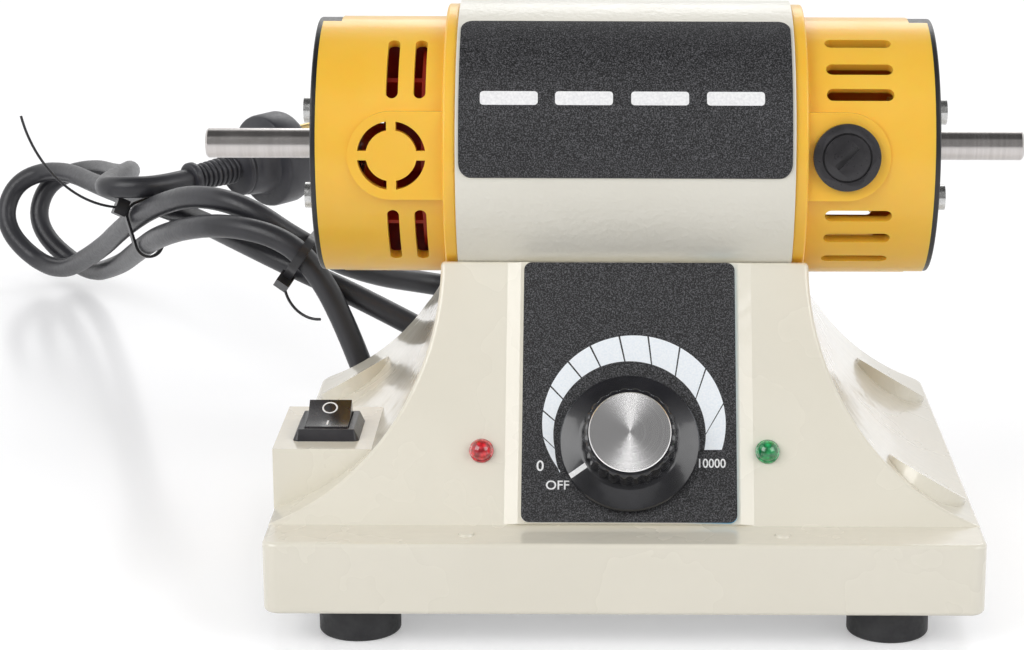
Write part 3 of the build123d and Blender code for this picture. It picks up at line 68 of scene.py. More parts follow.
bpy.ops.mesh.primitive_plane_add(size=9, location=(0, 0, 0))
table = bpy.context.object
table.name = "studio_table"
table_white = bpy.data.materials.new("table_white")
table_white.use_nodes = True
table_tree = table_white.node_tree
table_shader = table_tree.nodes["Principled BSDF"]
table_shader.inputs["Base Color"].default_value = (0.86, 0.86, 0.875, 1)
table_shader.inputs["Roughness"].default_value = 0.2
table_shader.inputs["Specular IOR Level"].default_value = 0.3
table_shader.inputs["Emission Color"].default_value = (1, 1, 1, 1)
table_rays = table_tree.nodes.new("ShaderNodeLightPath").outputs
table_gloss = maths(table_tree, "MAXIMUM", table_rays["Is Camera Ray"], table_rays["Is Glossy Ray"])
table_seen = maths(table_tree, "MAXIMUM", table_gloss, table_rays["Is Transmission Ray"])
table_lift = maths(table_tree, "MULTIPLY", table_seen, 0.3)
table_tree.links.new(table_lift, table_shader.inputs["Emission Strength"])
table.data.materials.append(table_white)

# Studio: white walls round the table. Gloss and lenses see them too, with the dimmer side of the
# room in front of the machine and a dark ceiling, and as light on the object they stay low.
def ranged(tree, value, low, high, start, end):
    """A value that runs from start to end while the one it follows runs from low to high."""
    node = tree.nodes.new("ShaderNodeMapRange")
    for socket, number in (("From Min", low), ("From Max", high), ("To Min", start), ("To Max", end)):
        node.inputs[socket].default_value = number
    tree.links.new(value, node.inputs["Value"])
    return node.outputs[0]


studio = bpy.data.worlds.new("studio_white")
bpy.context.scene.world = studio
studio.use_nodes = True
studio_tree = studio.node_tree
studio_light = studio_tree.nodes["Background"]
studio_light.inputs["Color"].default_value = (1, 1, 1, 1)
studio_way = studio_tree.nodes.new("ShaderNodeTexCoord")
studio_split = studio_tree.nodes.new("ShaderNodeSeparateXYZ")
studio_tree.links.new(studio_way.outputs["Generated"], studio_split.inputs[0])
ceiling = ranged(studio_tree, studio_split.outputs["Z"], 0.72, 0.9, 1.0, 0.1)
front_side = ranged(studio_tree, studio_split.outputs["Y"], -0.7, -0.2, 0.3, 1.0)
room = maths(studio_tree, "MULTIPLY", ceiling, front_side)
studio_rays = studio_tree.nodes.new("ShaderNodeLightPath").outputs
mirrored = maths(studio_tree, "MAXIMUM", studio_rays["Is Glossy Ray"], studio_rays["Is Transmission Ray"])
wall_level = studio_tree.nodes.new("ShaderNodeMix")
wall_level.inputs["A"].default_value = 0.46
studio_tree.links.new(mirrored, wall_level.inputs["Factor"])
studio_tree.links.new(room, wall_level.inputs["B"])
seen_level = studio_tree.nodes.new("ShaderNodeMix")
seen_level.inputs["B"].default_value = 1.0
studio_tree.links.new(studio_rays["Is Camera Ray"], seen_level.inputs["Factor"])
studio_tree.links.new(wall_level.outputs["Result"], seen_level.inputs["A"])
studio_tree.links.new(seen_level.outputs["Result"], studio_light.inputs["Strength"])
machine_middle = Vector((0, 0, 0.1))


def softbox(name, place, width, height, power):
    """A large soft lamp that faces the machine."""
    bpy.ops.object.light_add(type="AREA", location=place)
    lamp = bpy.context.object
    lamp.name = name
    lamp.rotation_euler = (Vector(place) - machine_middle).to_track_quat("Z", "Y").to_euler()
    lamp.data.shape = "RECTANGLE"
    lamp.data.size = width
    lamp.data.size_y = height
    lamp.data.energy = power


softbox("left_softbox", (-1.25, -1.05, 1.15), 1.3, 1.2, 17.0)
softbox("right_softbox", (1.3, -1.0, 1.0), 1.2, 1.1, 11.0)
softbox("rear_softbox", (0.3, 1.7, 1.2), 1.4, 0.7, 6.0)

# Mains lead: three-core cable in a smooth round sheath of soft black rubber, 9 mm thick. It
# leaves the back of the base on the left and is folded to and fro for packing, with two upright
# loops at the far left.
def left_loop(x, y, z):
    """Corners of one upright loop of the folded lead."""
    low_side = [(x + 9, y - 10, z - 21.5), (x - 18, y, z - 1)]
    return low_side + [(x - 13.5, y + 9, z + 21), (x + 10, y + 6, z + 29)]


lead_route = [(-38, 123.5, 50), (-38, 160, 50), (-72, 182, 50), (-104, 154, 62), (-127, 137, 79)]
lead_route += [(-145, 137, 92), (-166, 151, 94), (-188, 185, 83), (-211, 236, 63), (-238, 318, 33)]
lead_route += left_loop(-282, 394, 26.5)
lead_route += [(-235, 330, 58.5), (-203, 240, 72.5), (-172, 178, 78.5), (-149, 147, 76), (-128, 131, 70)]
lead_route += [(-103, 125, 60), (-56, 120, 36), (-56, 118, 14.5), (-72, 116, 3), (-91, 114, 8.5)]
lead_route += [(-108, 116, 56), (-120, 118, 75.5), (-131, 120.5, 83.5), (-147, 126.5, 86.5)]
lead_route += [(-164.5, 140, 84), (-187, 180, 71), (-206.5, 240, 51), (-229, 318, 26)]
lead_route += left_loop(-268, 403, 25)
lead_route += [(-232, 347, 62), (-213, 275, 80), (-217.5, 215, 83.5), (-207, 203.5, 86)]
lead_route += [(-191.2, 203.7, 86), (-180, 215, 87)]
lead_curve = bpy.data.curves.new("mains_lead", "CURVE")
lead_curve.dimensions = "3D"
lead_curve.bevel_depth = 0.0045
lead_curve.bevel_resolution = 6
lead_curve.resolution_u = 12
lead_curve.use_fill_caps = True
lead_line = lead_curve.splines.new("NURBS")
lead_line.points.add(len(lead_route) - 1)
for point, (x, y, z) in zip(lead_line.points, lead_route):
    point.co = (x / 1000, y / 1000, z / 1000, 1)
lead_line.order_u = 3
lead_line.use_endpoint_u = True
mains_lead = bpy.data.objects.new("mains_lead", lead_curve)
bpy.context.collection.objects.link(mains_lead)


def finish(name, colour, roughness, metal=0.0, coat=0.0):
    """A plain finish in one colour, for the details below to work on."""
    material = bpy.data.materials.new(name)
    material.use_nodes = True
    shader = material.node_tree.nodes["Principled BSDF"]
    shader.inputs["Base Color"].default_value = (*colour, 1)
    shader.inputs["Roughness"].default_value = roughness
    shader.inputs["Metallic"].default_value = metal
    shader.inputs["Coat Weight"].default_value = coat
    shader.inputs["Coat Roughness"].default_value = 0.06
    return material


def speckle(material, size, stretch=(1, 1, 1), detail=3.0):
    """Noise of a real size in metres on the piece's own coordinates."""
    tree = material.node_tree
    place = tree.nodes.new("ShaderNodeTexCoord")
    turn = tree.nodes.new("ShaderNodeMapping")
    turn.inputs["Scale"].default_value = stretch
    noise = tree.nodes.new("ShaderNodeTexNoise")
    noise.inputs["Scale"].default_value = 1 / size
    noise.inputs["Detail"].default_value = detail
    tree.links.new(place.outputs["Object"], turn.inputs["Vector"])
    tree.links.new(turn.outputs["Vector"], noise.inputs["Vector"])
    return noise.outputs["Fac"]


def relief(material, height, depth):
    """Bumps of a real depth, on top of any that the finish has."""
    tree = material.node_tree
    shader = tree.nodes["Principled BSDF"]
    bump = tree.nodes.new("ShaderNodeBump")
    bump.inputs["Distance"].default_value = depth
    tree.links.new(height, bump.inputs["Height"])
    if shader.inputs["Normal"].links:
        tree.links.new(shader.inputs["Normal"].links[0].from_socket, bump.inputs["Normal"])
    tree.links.new(bump.outputs["Normal"], shader.inputs["Normal"])
    if shader.inputs["Coat Weight"].default_value:
        tree.links.new(bump.outputs["Normal"], shader.inputs["Coat Normal"])


def tones(material, pattern, dark, light, low=0.35, high=0.65):
    """Base colour that runs between two tones with a pattern."""
    tree = material.node_tree
    ramp = tree.nodes.new("ShaderNodeValToRGB")
    ramp.color_ramp.elements[0].position = low
    ramp.color_ramp.elements[0].color = (*dark, 1)
    ramp.color_ramp.elements[1].position = high
    ramp.color_ramp.elements[1].color = (*light, 1)
    tree.links.new(pattern, ramp.inputs["Fac"])
    tree.links.new(ramp.outputs["Color"], tree.nodes["Principled BSDF"].inputs["Base Color"])


def sheen_spread(material, pattern, low, high):
    """Roughness that runs between two values with a pattern."""
    tree = material.node_tree
    spread = ranged(tree, pattern, 0.3, 0.7, low, high)
    tree.links.new(spread, tree.nodes["Principled BSDF"].inputs["Roughness"])


def fit(piece, body, slot, material, *nodes):
    """Put a new piece on its body, in its finish, in place of the plain solids it stands for."""
    piece.data.materials.clear()
    piece.data.materials.append(material)
    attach(piece, body)
    if nodes:
        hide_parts(*nodes)


cable_rubber = finish("cable_rubber", (0.028, 0.028, 0.032), 0.36)
sheath_grain = speckle(cable_rubber, 0.0016)
relief(cable_rubber, sheath_grain, 0.00003)
tones(cable_rubber, speckle(cable_rubber, 0.02), (0.022, 0.022, 0.026), (0.036, 0.036, 0.042))
sheen_spread(cable_rubber, sheath_grain, 0.32, 0.42)
fit(mains_lead, "base", "cord_rubber", cable_rubber, "power_cord", "cord_hank")

# Mains plug: one black rubber moulding with a thin collar where the lead enters, a ribbed sleeve
# that lets the lead bend, a waist with finger flats, and a round head. Two drawn brass pins are
# moulded into it.
def turned(name, rings, sides):
    """A round piece: a disc that is pulled up and resized ring by ring, then closed."""
    bpy.ops.object.select_all(action="DESELECT")
    bpy.ops.mesh.primitive_circle_add(vertices=sides, radius=rings[0][0] / 1000, fill_type="NGON",
                                      location=(0, 0, rings[0][1] / 1000))
    piece = bpy.context.object
    piece.name = name
    bpy.ops.object.transform_apply(location=True, rotation=True, scale=True)
    bpy.ops.object.mode_set(mode="EDIT")
    bpy.ops.mesh.select_all(action="SELECT")
    for (radius, height), (next_radius, next_height) in zip(rings, rings[1:]):
        step = {"value": (0, 0, (next_height - height) / 1000)}
        bpy.ops.mesh.extrude_region_move(TRANSFORM_OT_translate=step)
        bpy.ops.transform.resize(value=(next_radius / radius, next_radius / radius, 1))
    bpy.ops.mesh.select_all(action="SELECT")
    bpy.ops.mesh.remove_doubles(threshold=0.000002)
    bpy.ops.mesh.normals_make_consistent(inside=False)
    bpy.ops.object.mode_set(mode="OBJECT")
    return piece


def soften(piece, width, segments=2, angle=30):
    """Round the edges of a piece and shade it smooth."""
    bpy.ops.object.select_all(action="DESELECT")
    piece.select_set(True)
    bpy.context.view_layer.objects.active = piece
    edge = piece.modifiers.new("edges", "BEVEL")
    edge.width = width / 1000
    edge.segments = segments
    edge.limit_method = "ANGLE"
    edge.angle_limit = radians(angle)
    bpy.ops.object.modifier_apply(modifier=edge.name)
    bpy.ops.object.shade_smooth_by_angle(angle=radians(40))


def settle(piece, place):
    """Move a piece to its place and keep that place in its mesh."""
    bpy.ops.object.select_all(action="DESELECT")
    piece.select_set(True)
    bpy.context.view_layer.objects.active = piece
    piece.matrix_world = place
    bpy.ops.object.transform_apply(location=True, rotation=True, scale=True)


plug_rings = [(5.6, 0), (6.4, 0.25), (6.8, 0.9), (6.8, 2.7), (6.4, 3.4), (5.2, 3.8)]
for rib in range(8):
    foot = 4.5 + 2.4 * rib
    wide = 5.4 + 0.12 * rib
    valley = wide - 1.1
    plug_rings += [(valley, foot), (wide - 0.15, foot + 0.2), (wide, foot + 0.6)]
    plug_rings += [(wide, foot + 1.1), (wide - 0.15, foot + 1.5), (valley, foot + 1.7)]
plug_rings += [(5.9, 23.7), (10.9, 24.2), (11.8, 24.8), (12.0, 25.6), (12.0, 26.2), (11.3, 26.7)]
plug_rings += [(12.1, 27.2), (12.6, 30.0), (13.2, 35.0), (13.9, 38.1), (18.5, 38.5), (19.4, 39.1)]
plug_rings += [(19.7, 40.4), (19.7, 49.7), (19.2, 51.2), (17.8, 52.0)]
plug = turned("mains_plug", plug_rings, 64)
waist_start = 0.0275
waist_end = 0.0379
waist_half = 0.0106
for vertex in plug.data.vertices:
    if waist_start < vertex.co.z < waist_end and abs(vertex.co.x) > waist_half:
        flat_side = waist_half if vertex.co.x > 0 else -waist_half
        vertex.co.x = flat_side + 0.25 * (vertex.co.x - flat_side)
soften(plug, 0.25, 2, 40)
plug_entry = Vector(lead_route[-1]) / 1000
plug_way = (Vector(lead_route[-1]) - Vector(lead_route[-2])).normalized()
settle(plug, Matrix.Translation(plug_entry) @ plug_way.to_track_quat("Z", "Y").to_matrix().to_4x4())
plug_rubber = finish("plug_rubber", (0.034, 0.034, 0.04), 0.36)
moulding_grain = speckle(plug_rubber, 0.0011)
relief(plug_rubber, moulding_grain, 0.00004)
tones(plug_rubber, speckle(plug_rubber, 0.012), (0.028, 0.028, 0.034), (0.046, 0.046, 0.054))
sheen_spread(plug_rubber, moulding_grain, 0.32, 0.46)
fit(plug, "base", "black_rubber", plug_rubber, "plug_body")


def dress(material, *nodes):
    """Give modelled pieces of the frame their real finish."""
    for node in nodes:
        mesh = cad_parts[node].data
        mesh.materials.clear()
        mesh.materials.append(material)


drawn_brass = finish("drawn_brass", (0.62, 0.47, 0.22), 0.25, metal=1.0)
brass_lines = speckle(drawn_brass, 0.0008, (1, 1, 6))
relief(drawn_brass, brass_lines, 0.00002)
tones(drawn_brass, speckle(drawn_brass, 0.01), (0.56, 0.41, 0.18), (0.68, 0.52, 0.26))
sheen_spread(drawn_brass, brass_lines, 0.18, 0.34)
dress(drawn_brass, "plug_pins", "switch_terminals", "brush_holders", "board_standoffs")

# Cable ties: thin black nylon straps, moulded in one piece with a square locking head, drawn
# round the folded lead at two places with their ends left long.
tie_nylon = finish("tie_nylon", (0.018, 0.018, 0.02), 0.3)
nylon_ribs = speckle(tie_nylon, 0.0009)
relief(tie_nylon, nylon_ribs, 0.00006)
tones(tie_nylon, speckle(tie_nylon, 0.006), (0.012, 0.012, 0.014), (0.028, 0.028, 0.032))
dress(tie_nylon, "cable_ties")

# Strain relief and grommet: soft black rubber mouldings. The relief is a tapered sleeve with
# grooves that is clipped into the back wall, and the grommet lines the hole under the motor.
dress(plug_rubber, "cord_strain_relief", "lead_grommet")

# Base: one hollow casting in thick cream gloss paint. The paint has flowed to a smooth skin with
# a shallow orange peel, and only long low waves of the casting show through it.
cream_gloss = finish("cream_gloss", (0.8, 0.76, 0.65), 0.26, coat=0.6)
relief(cream_gloss, speckle(cream_gloss, 0.0042, detail=1.5), 0.00006)
relief(cream_gloss, speckle(cream_gloss, 0.014, detail=2.0), 0.00016)
tones(cream_gloss, speckle(cream_gloss, 0.06), (0.785, 0.745, 0.635), (0.815, 0.775, 0.665))
sheen_spread(cream_gloss, speckle(cream_gloss, 0.03), 0.2, 0.32)
dress(cream_gloss, "base_housing")

# Under the base: a plated steel sheet let in between the walls, bright zinc screws, and four
# round feet of soft black rubber, each held by a screw up its middle.
zinc_sheet = finish("zinc_sheet", (0.56, 0.56, 0.55), 0.42, metal=1.0)
zinc_flower = speckle(zinc_sheet, 0.012)
tones(zinc_sheet, zinc_flower, (0.5, 0.5, 0.5), (0.64, 0.64, 0.62))
sheen_spread(zinc_sheet, zinc_flower, 0.34, 0.5)
dress(zinc_sheet, "bottom_plate", "potentiometer")
zinc_screw = finish("zinc_screw", (0.62, 0.62, 0.61), 0.24, metal=1.0)
screw_lines = speckle(zinc_screw, 0.0007)
relief(zinc_screw, screw_lines, 0.00002)
tones(zinc_screw, speckle(zinc_screw, 0.003), (0.56, 0.56, 0.55), (0.68, 0.68, 0.67))
sheen_spread(zinc_screw, screw_lines, 0.18, 0.34)
dress(zinc_screw, "bottom_plate_screws", "foot_screws", "motor_mount_screws", "end_plate_screws",
      "pot_nut", "board_screws")
foot_rubber = finish("foot_rubber", (0.02, 0.02, 0.022), 0.55)
foot_grain = speckle(foot_rubber, 0.0014)
relief(foot_rubber, foot_grain, 0.00008)
tones(foot_rubber, speckle(foot_rubber, 0.008), (0.014, 0.014, 0.016), (0.03, 0.03, 0.032))
sheen_spread(foot_rubber, foot_grain, 0.48, 0.62)
dress(foot_rubber, "rubber_feet")

# Mains switch: a black moulded body clipped into the casting, its bezel bevelled on all sides,
# and a gloss rocker that is pressed at the front, with a white ring and bar printed on it.
def rounded_copy(node, name, width, segments=3):
    """The modelled piece again as one clean mesh with its edges rounded."""
    piece = bpy.data.objects.new(name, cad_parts[node].data.copy())
    bpy.context.collection.objects.link(piece)
    bpy.ops.object.select_all(action="DESELECT")
    piece.select_set(True)
    bpy.context.view_layer.objects.active = piece
    bpy.ops.mesh.customdata_custom_splitnormals_clear()
    bpy.ops.object.mode_set(mode="EDIT")
    bpy.ops.mesh.select_all(action="SELECT")
    bpy.ops.mesh.remove_doubles(threshold=0.00001)
    bpy.ops.mesh.dissolve_limited(angle_limit=radians(0.5))
    bpy.ops.mesh.mark_sharp(clear=True)
    bpy.ops.object.mode_set(mode="OBJECT")
    soften(piece, width, segments)
    return piece


switch_black = finish("switch_black", (0.026, 0.025, 0.028), 0.32)
switch_grain = speckle(switch_black, 0.0006)
relief(switch_black, switch_grain, 0.00003)
tones(switch_black, speckle(switch_black, 0.01), (0.02, 0.019, 0.022), (0.034, 0.032, 0.036))
sheen_spread(switch_black, switch_grain, 0.28, 0.4)
bezel = rounded_copy("switch_body", "switch_bezel", 0.25, 2)
fit(bezel, "base", "black_plastic", switch_black, "switch_body")
rocker_black = finish("rocker_black", (0.018, 0.016, 0.018), 0.24, coat=0.2)
relief(rocker_black, speckle(rocker_black, 0.003, detail=1.0), 0.00002)
tones(rocker_black, speckle(rocker_black, 0.012), (0.013, 0.011, 0.013), (0.025, 0.022, 0.025))
sheen_spread(rocker_black, speckle(rocker_black, 0.004), 0.2, 0.3)
rocker = rounded_copy("switch_rocker", "rocker_cap", 0.35)
fit(rocker, "rocker", "black_knob", rocker_black, "switch_rocker")
print_white = finish("print_white", (0.85, 0.85, 0.85), 0.45)
print_grain = speckle(print_white, 0.0008)
tones(print_white, print_grain, (0.8, 0.8, 0.81), (0.92, 0.92, 0.92))
relief(print_white, print_grain, 0.00001)
rocker_tilt = radians(15)
rocker_pivot = Vector((-0.0966, -0.0394, 0.0568))
rocker_valley = rocker_pivot + Vector((0, -sin(rocker_tilt), cos(rocker_tilt))) * 0.0022


def rocker_face(half, reach):
    """Place on the back or front half of the rocker's face, which rises by its tilt each way."""
    rise = rocker_tilt + half * rocker_tilt
    along = Vector((0, cos(rise), sin(rise)))
    up = Vector((0, -sin(rise), cos(rise)))
    spot = rocker_valley + along * (half * reach) + up * 0.00005
    return Matrix.Translation(spot) @ Matrix((Vector((1, 0, 0)), along, up)).transposed().to_4x4()


bpy.ops.object.select_all(action="DESELECT")
bpy.ops.mesh.primitive_torus_add(major_radius=0.0023, minor_radius=0.00029, major_segments=48,
                                 minor_segments=8)
off_ring = bpy.context.object
off_ring.name = "off_ring"
bpy.ops.transform.resize(value=(1, 1, 0.3))
settle(off_ring, rocker_face(1, 0.005) @ off_ring.matrix_world)
bpy.ops.object.shade_smooth()
fit(off_ring, "rocker", "white_mark", print_white)
bpy.ops.object.select_all(action="DESELECT")
bpy.ops.mesh.primitive_cube_add(size=1)
on_bar = bpy.context.object
on_bar.name = "on_bar"
on_bar.scale = (0.0006, 0.0048, 0.00008)
bpy.ops.object.transform_apply(location=True, rotation=True, scale=True)
soften(on_bar, 0.03, 1)
settle(on_bar, rocker_face(-1, 0.0044))
fit(on_bar, "rocker", "white_mark", print_white)

# Control plate: a sheet printed black with a coarse sparkle, stuck on the raised land of the
# panel. Its cut edge shows the white sheet on the left and below, and bright blue on the right.
panel_lean = radians(32.2)
panel_up = Vector((0, sin(panel_lean), cos(panel_lean)))
panel_out = Vector((0, -cos(panel_lean), sin(panel_lean)))
plate_black = finish("plate_black", (0.02, 0.02, 0.022), 0.5)
sparkle = speckle(plate_black, 0.0004, detail=2.0)
tones(plate_black, sparkle, (0.004, 0.004, 0.005), (0.13, 0.13, 0.14), 0.46, 0.72)
relief(plate_black, sparkle, 0.0001)
sheen_spread(plate_black, sparkle, 0.4, 0.62)
dress(plate_black, "name_plate")
edged_plate = plate_black.copy()
edged_plate.name = "edged_plate"
edge_tree = edged_plate.node_tree
edge_shader = edge_tree.nodes["Principled BSDF"]
edge_facing = edge_tree.nodes.new("ShaderNodeNewGeometry")
panel_dot = edge_tree.nodes.new("ShaderNodeVectorMath")
panel_dot.operation = "DOT_PRODUCT"
panel_dot.inputs[1].default_value = panel_out
edge_tree.links.new(edge_facing.outputs["True Normal"], panel_dot.inputs[0])
on_edge = maths(edge_tree, "LESS_THAN", panel_dot.outputs["Value"], 0.7)
edge_place = edge_tree.nodes.new("ShaderNodeTexCoord")
edge_split = edge_tree.nodes.new("ShaderNodeSeparateXYZ")
edge_tree.links.new(edge_place.outputs["Object"], edge_split.inputs[0])
blue_side = ranged(edge_tree, edge_split.outputs["X"], 0.018, 0.034, 0.0, 1.0)
edge_colour = edge_tree.nodes.new("ShaderNodeMix")
edge_colour.data_type = "RGBA"
edge_colour.inputs["A"].default_value = (0.86, 0.86, 0.86, 1)
edge_colour.inputs["B"].default_value = (0.02, 0.45, 0.85, 1)
edge_tree.links.new(blue_side, edge_colour.inputs["Factor"])
face_or_edge = edge_tree.nodes.new("ShaderNodeMix")
face_or_edge.data_type = "RGBA"
edge_tree.links.new(on_edge, face_or_edge.inputs["Factor"])
edge_tree.links.new(edge_shader.inputs["Base Color"].links[0].from_socket, face_or_edge.inputs["A"])
edge_tree.links.new(edge_colour.outputs["Result"], face_or_edge.inputs["B"])
edge_tree.links.new(face_or_edge.outputs["Result"], edge_shader.inputs["Base Color"])
dress(edged_plate, "control_plate")

# Speed scale: a pale crescent printed on the plate in eleven fields, wider towards the fast end,
# with plain numbers at its two ends and the word OFF under the first.
panel_foot = Vector((0, -0.077, 0.035))
print_height = 1.93


def on_panel(x, rise, height):
    """Place on the sloped panel: across, up the slope and out from its face, in millimetres."""
    spot = panel_foot + Vector((x / 1000, 0, 0)) + panel_up * (rise / 1000) + panel_out * (height / 1000)
    axes = Matrix((Vector((1, 0, 0)), panel_up, panel_out)).transposed()
    return Matrix.Translation(spot) @ axes.to_4x4()


scale_white = finish("scale_white", (0.86, 0.9, 0.94), 0.4)
scale_grain = speckle(scale_white, 0.0006)
tones(scale_white, scale_grain, (0.82, 0.87, 0.92), (0.9, 0.93, 0.96))
relief(scale_white, scale_grain, 0.00001)
outer_turns = (214.3, 189.6, 172.3, 155.6, 136.1, 118.8, 99.3, 81.0, 59.7, 38.1, 12.7, -17.4)
inner_turns = (209.8, 191.3, 169.7, 151.5, 129.6, 112.7, 93.6, 73.1, 52.8, 29.2, 0.2, -12.1)
outer_middle = Vector((3.0, 33.2, 0))
outer_reach = 29.3
inner_middle = Vector((1.6, 29.5, 0))
inner_reach = 24.3
half_line = 0.55
last_field = len(outer_turns) - 2
for field in range(last_field + 1):
    bpy.ops.object.select_all(action="DESELECT")
    bpy.ops.mesh.primitive_grid_add(x_subdivisions=10, y_subdivisions=2, size=2)
    patch = bpy.context.object
    patch.name = f"scale_field_{field + 1}"
    gap_start = 0 if field == 0 else half_line
    gap_end = 0 if field == last_field else half_line
    outer_start, outer_end = outer_turns[field] - gap_start, outer_turns[field + 1] + gap_end
    inner_start, inner_end = inner_turns[field] - gap_start, inner_turns[field + 1] + gap_end
    outer_taper, inner_taper = (1.0, 1.3) if field == 0 else (0, 0)
    for vertex in patch.data.vertices:
        along = (vertex.co.x + 1) / 2
        across = (vertex.co.y + 1) / 2
        outer_turn = radians(outer_start * (1 - along) + outer_end * along)
        inner_turn = radians(inner_start * (1 - along) + inner_end * along)
        outer_radius = outer_reach - (1 - along) * outer_taper
        inner_radius = inner_reach + (1 - along) * inner_taper
        outer = outer_middle + Vector((cos(outer_turn), sin(outer_turn), 0)) * outer_radius
        inner = inner_middle + Vector((cos(inner_turn), sin(inner_turn), 0)) * inner_radius
        vertex.co = inner.lerp(outer, across) / 1000
    bpy.ops.object.mode_set(mode="EDIT")
    bpy.ops.mesh.select_all(action="SELECT")
    bpy.ops.mesh.remove_doubles(threshold=0.000002)
    bpy.ops.mesh.normals_make_consistent(inside=False)
    bpy.ops.object.mode_set(mode="OBJECT")
    ink = patch.modifiers.new("ink", "SOLIDIFY")
    ink.thickness = 0.00006
    ink.offset = 0
    bpy.ops.object.modifier_apply(modifier=ink.name)
    settle(patch, on_panel(0, 0, print_height))
    fit(patch, "base", "white_mark", scale_white)

dial_marks = (("0", -26.8, 19.0, 2.3, 3.5), ("OFF", -21.2, 12.7, 7.4, 3.0), ("10000", 27.9, 20.0, 8.5, 3.0))
for text, x, rise, wide, high in dial_marks:
    bpy.ops.object.select_all(action="DESELECT")
    bpy.ops.object.text_add()
    number = bpy.context.object
    number.name = f"scale_mark_{text}"
    number.data.body = text
    number.data.size = 1
    number.data.offset = 0.012
    number.data.extrude = 0.01
    bpy.ops.object.convert(target="MESH")
    corners = [vertex.co for vertex in number.data.vertices]
    low_x, high_x = min(c.x for c in corners), max(c.x for c in corners)
    low_y, high_y = min(c.y for c in corners), max(c.y for c in corners)
    shrink = Matrix.Diagonal((wide / 1000 / (high_x - low_x), high / 1000 / (high_y - low_y), 0.003, 1))
    centre = Matrix.Translation((-(low_x + high_x) / 2, -(low_y + high_y) / 2, 0))
    settle(number, on_panel(x, rise, print_height) @ shrink @ centre)
    fit(number, "base", "white_mark", print_white)

# Speed knob: a gloss black moulding with a sloping skirt, a step, and a grip with rounded flutes.
# It is pushed on the shaft of the speed control, and a white pointer is filled into its skirt.
knob_rings = [(21.5, 2.3), (22.2, 2.7), (22.3, 3.3), (22.3, 4.1), (21.9, 4.7), (16.4, 7.1), (15.9, 7.4)]
knob_rings += [(15.3, 7.5), (15.3, 9.6), (15.1, 12.4), (14.9, 15.2), (14.6, 16.2), (13.9, 16.8)]
knob_rings += [(13.3, 16.9), (13.1, 16.7), (13.05, 16.35), (3, 16.3)]
knob = turned("speed_knob", knob_rings, 288)
knob_place = on_panel(1.6, 26.0, 0)
grip_foot = 0.00745
grip_top = 0.0168
grip_inside = 0.0142
flutes = 24
flute_depth = 0.00085
for vertex in knob.data.vertices:
    reach = hypot(vertex.co.x, vertex.co.y)
    if vertex.co.z > grip_foot and reach > grip_inside:
        flute = 0.5 + 0.5 * cos(flutes * atan2(vertex.co.y, vertex.co.x))
        cut = flute_depth * flute**2 * min(1, (grip_top - vertex.co.z) / 0.0012)
        vertex.co.x *= (reach - cut) / reach
        vertex.co.y *= (reach - cut) / reach
bpy.ops.object.shade_smooth_by_angle(angle=radians(32))
settle(knob, knob_place)
knob_black = finish("knob_black", (0.012, 0.012, 0.015), 0.2, coat=0.3)
relief(knob_black, speckle(knob_black, 0.004, detail=1.0), 0.00003)
tones(knob_black, speckle(knob_black, 0.015), (0.009, 0.009, 0.011), (0.017, 0.017, 0.021))
sheen_spread(knob_black, speckle(knob_black, 0.006), 0.16, 0.26)
fit(knob, "speed_knob", "black_knob", knob_black, "knob")
dress(print_white, "knob_pointer")

# Knob disc: thin aluminium, faced on a lathe and pressed into the grip. The fine rings of the
# tool make it glint in two wedges across its middle.
disc_radius = 0.013
disc_rings = [(13.0, 16.35), (13.0, 17.2), (12.7, 17.5), (9, 17.5), (6, 17.5), (3, 17.5), (0.2, 17.5)]
disc = turned("knob_disc", disc_rings, 96)
bpy.ops.object.shade_smooth_by_angle(angle=radians(30))
lathe_map = disc.data.uv_layers.new(name="lathe")
for face in disc.data.polygons:
    middle = atan2(face.center.y, face.center.x)
    for corner in face.loop_indices:
        spot = disc.data.vertices[disc.data.loops[corner].vertex_index].co
        turn = atan2(spot.y, spot.x)
        if turn - middle > pi:
            turn -= 2 * pi
        if middle - turn > pi:
            turn += 2 * pi
        lathe_map.data[corner].uv = (turn / (2 * pi) + 0.5, hypot(spot.x, spot.y) / disc_radius)
settle(disc, knob_place)
spun_face = finish("spun_face", (0.83, 0.83, 0.84), 0.26, metal=1.0)
spun_shader = spun_face.node_tree.nodes["Principled BSDF"]
spun_shader.inputs["Anisotropic"].default_value = 0.9
spin_way = spun_face.node_tree.nodes.new("ShaderNodeTangent")
spin_way.direction_type = "UV_MAP"
spin_way.uv_map = "lathe"
spun_face.node_tree.links.new(spin_way.outputs["Tangent"], spun_shader.inputs["Tangent"])
spun_uv = spun_face.node_tree.nodes.new("ShaderNodeUVMap")
spun_uv.uv_map = "lathe"
spun_rings = spun_face.node_tree.nodes.new("ShaderNodeMapping")
spun_rings.inputs["Scale"].default_value = (0.6, 60, 1)
spun_noise = spun_face.node_tree.nodes.new("ShaderNodeTexNoise")
spun_noise.inputs["Scale"].default_value = 2.0
spun_face.node_tree.links.new(spun_uv.outputs["UV"], spun_rings.inputs["Vector"])
spun_face.node_tree.links.new(spun_rings.outputs["Vector"], spun_noise.inputs["Vector"])
tones(spun_face, spun_noise.outputs["Fac"], (0.74, 0.73, 0.73), (0.92, 0.91, 0.91))
relief(spun_face, spun_noise.outputs["Fac"], 0.00001)
fit(disc, "speed_knob", "spun_aluminium", spun_face, "knob_cap")

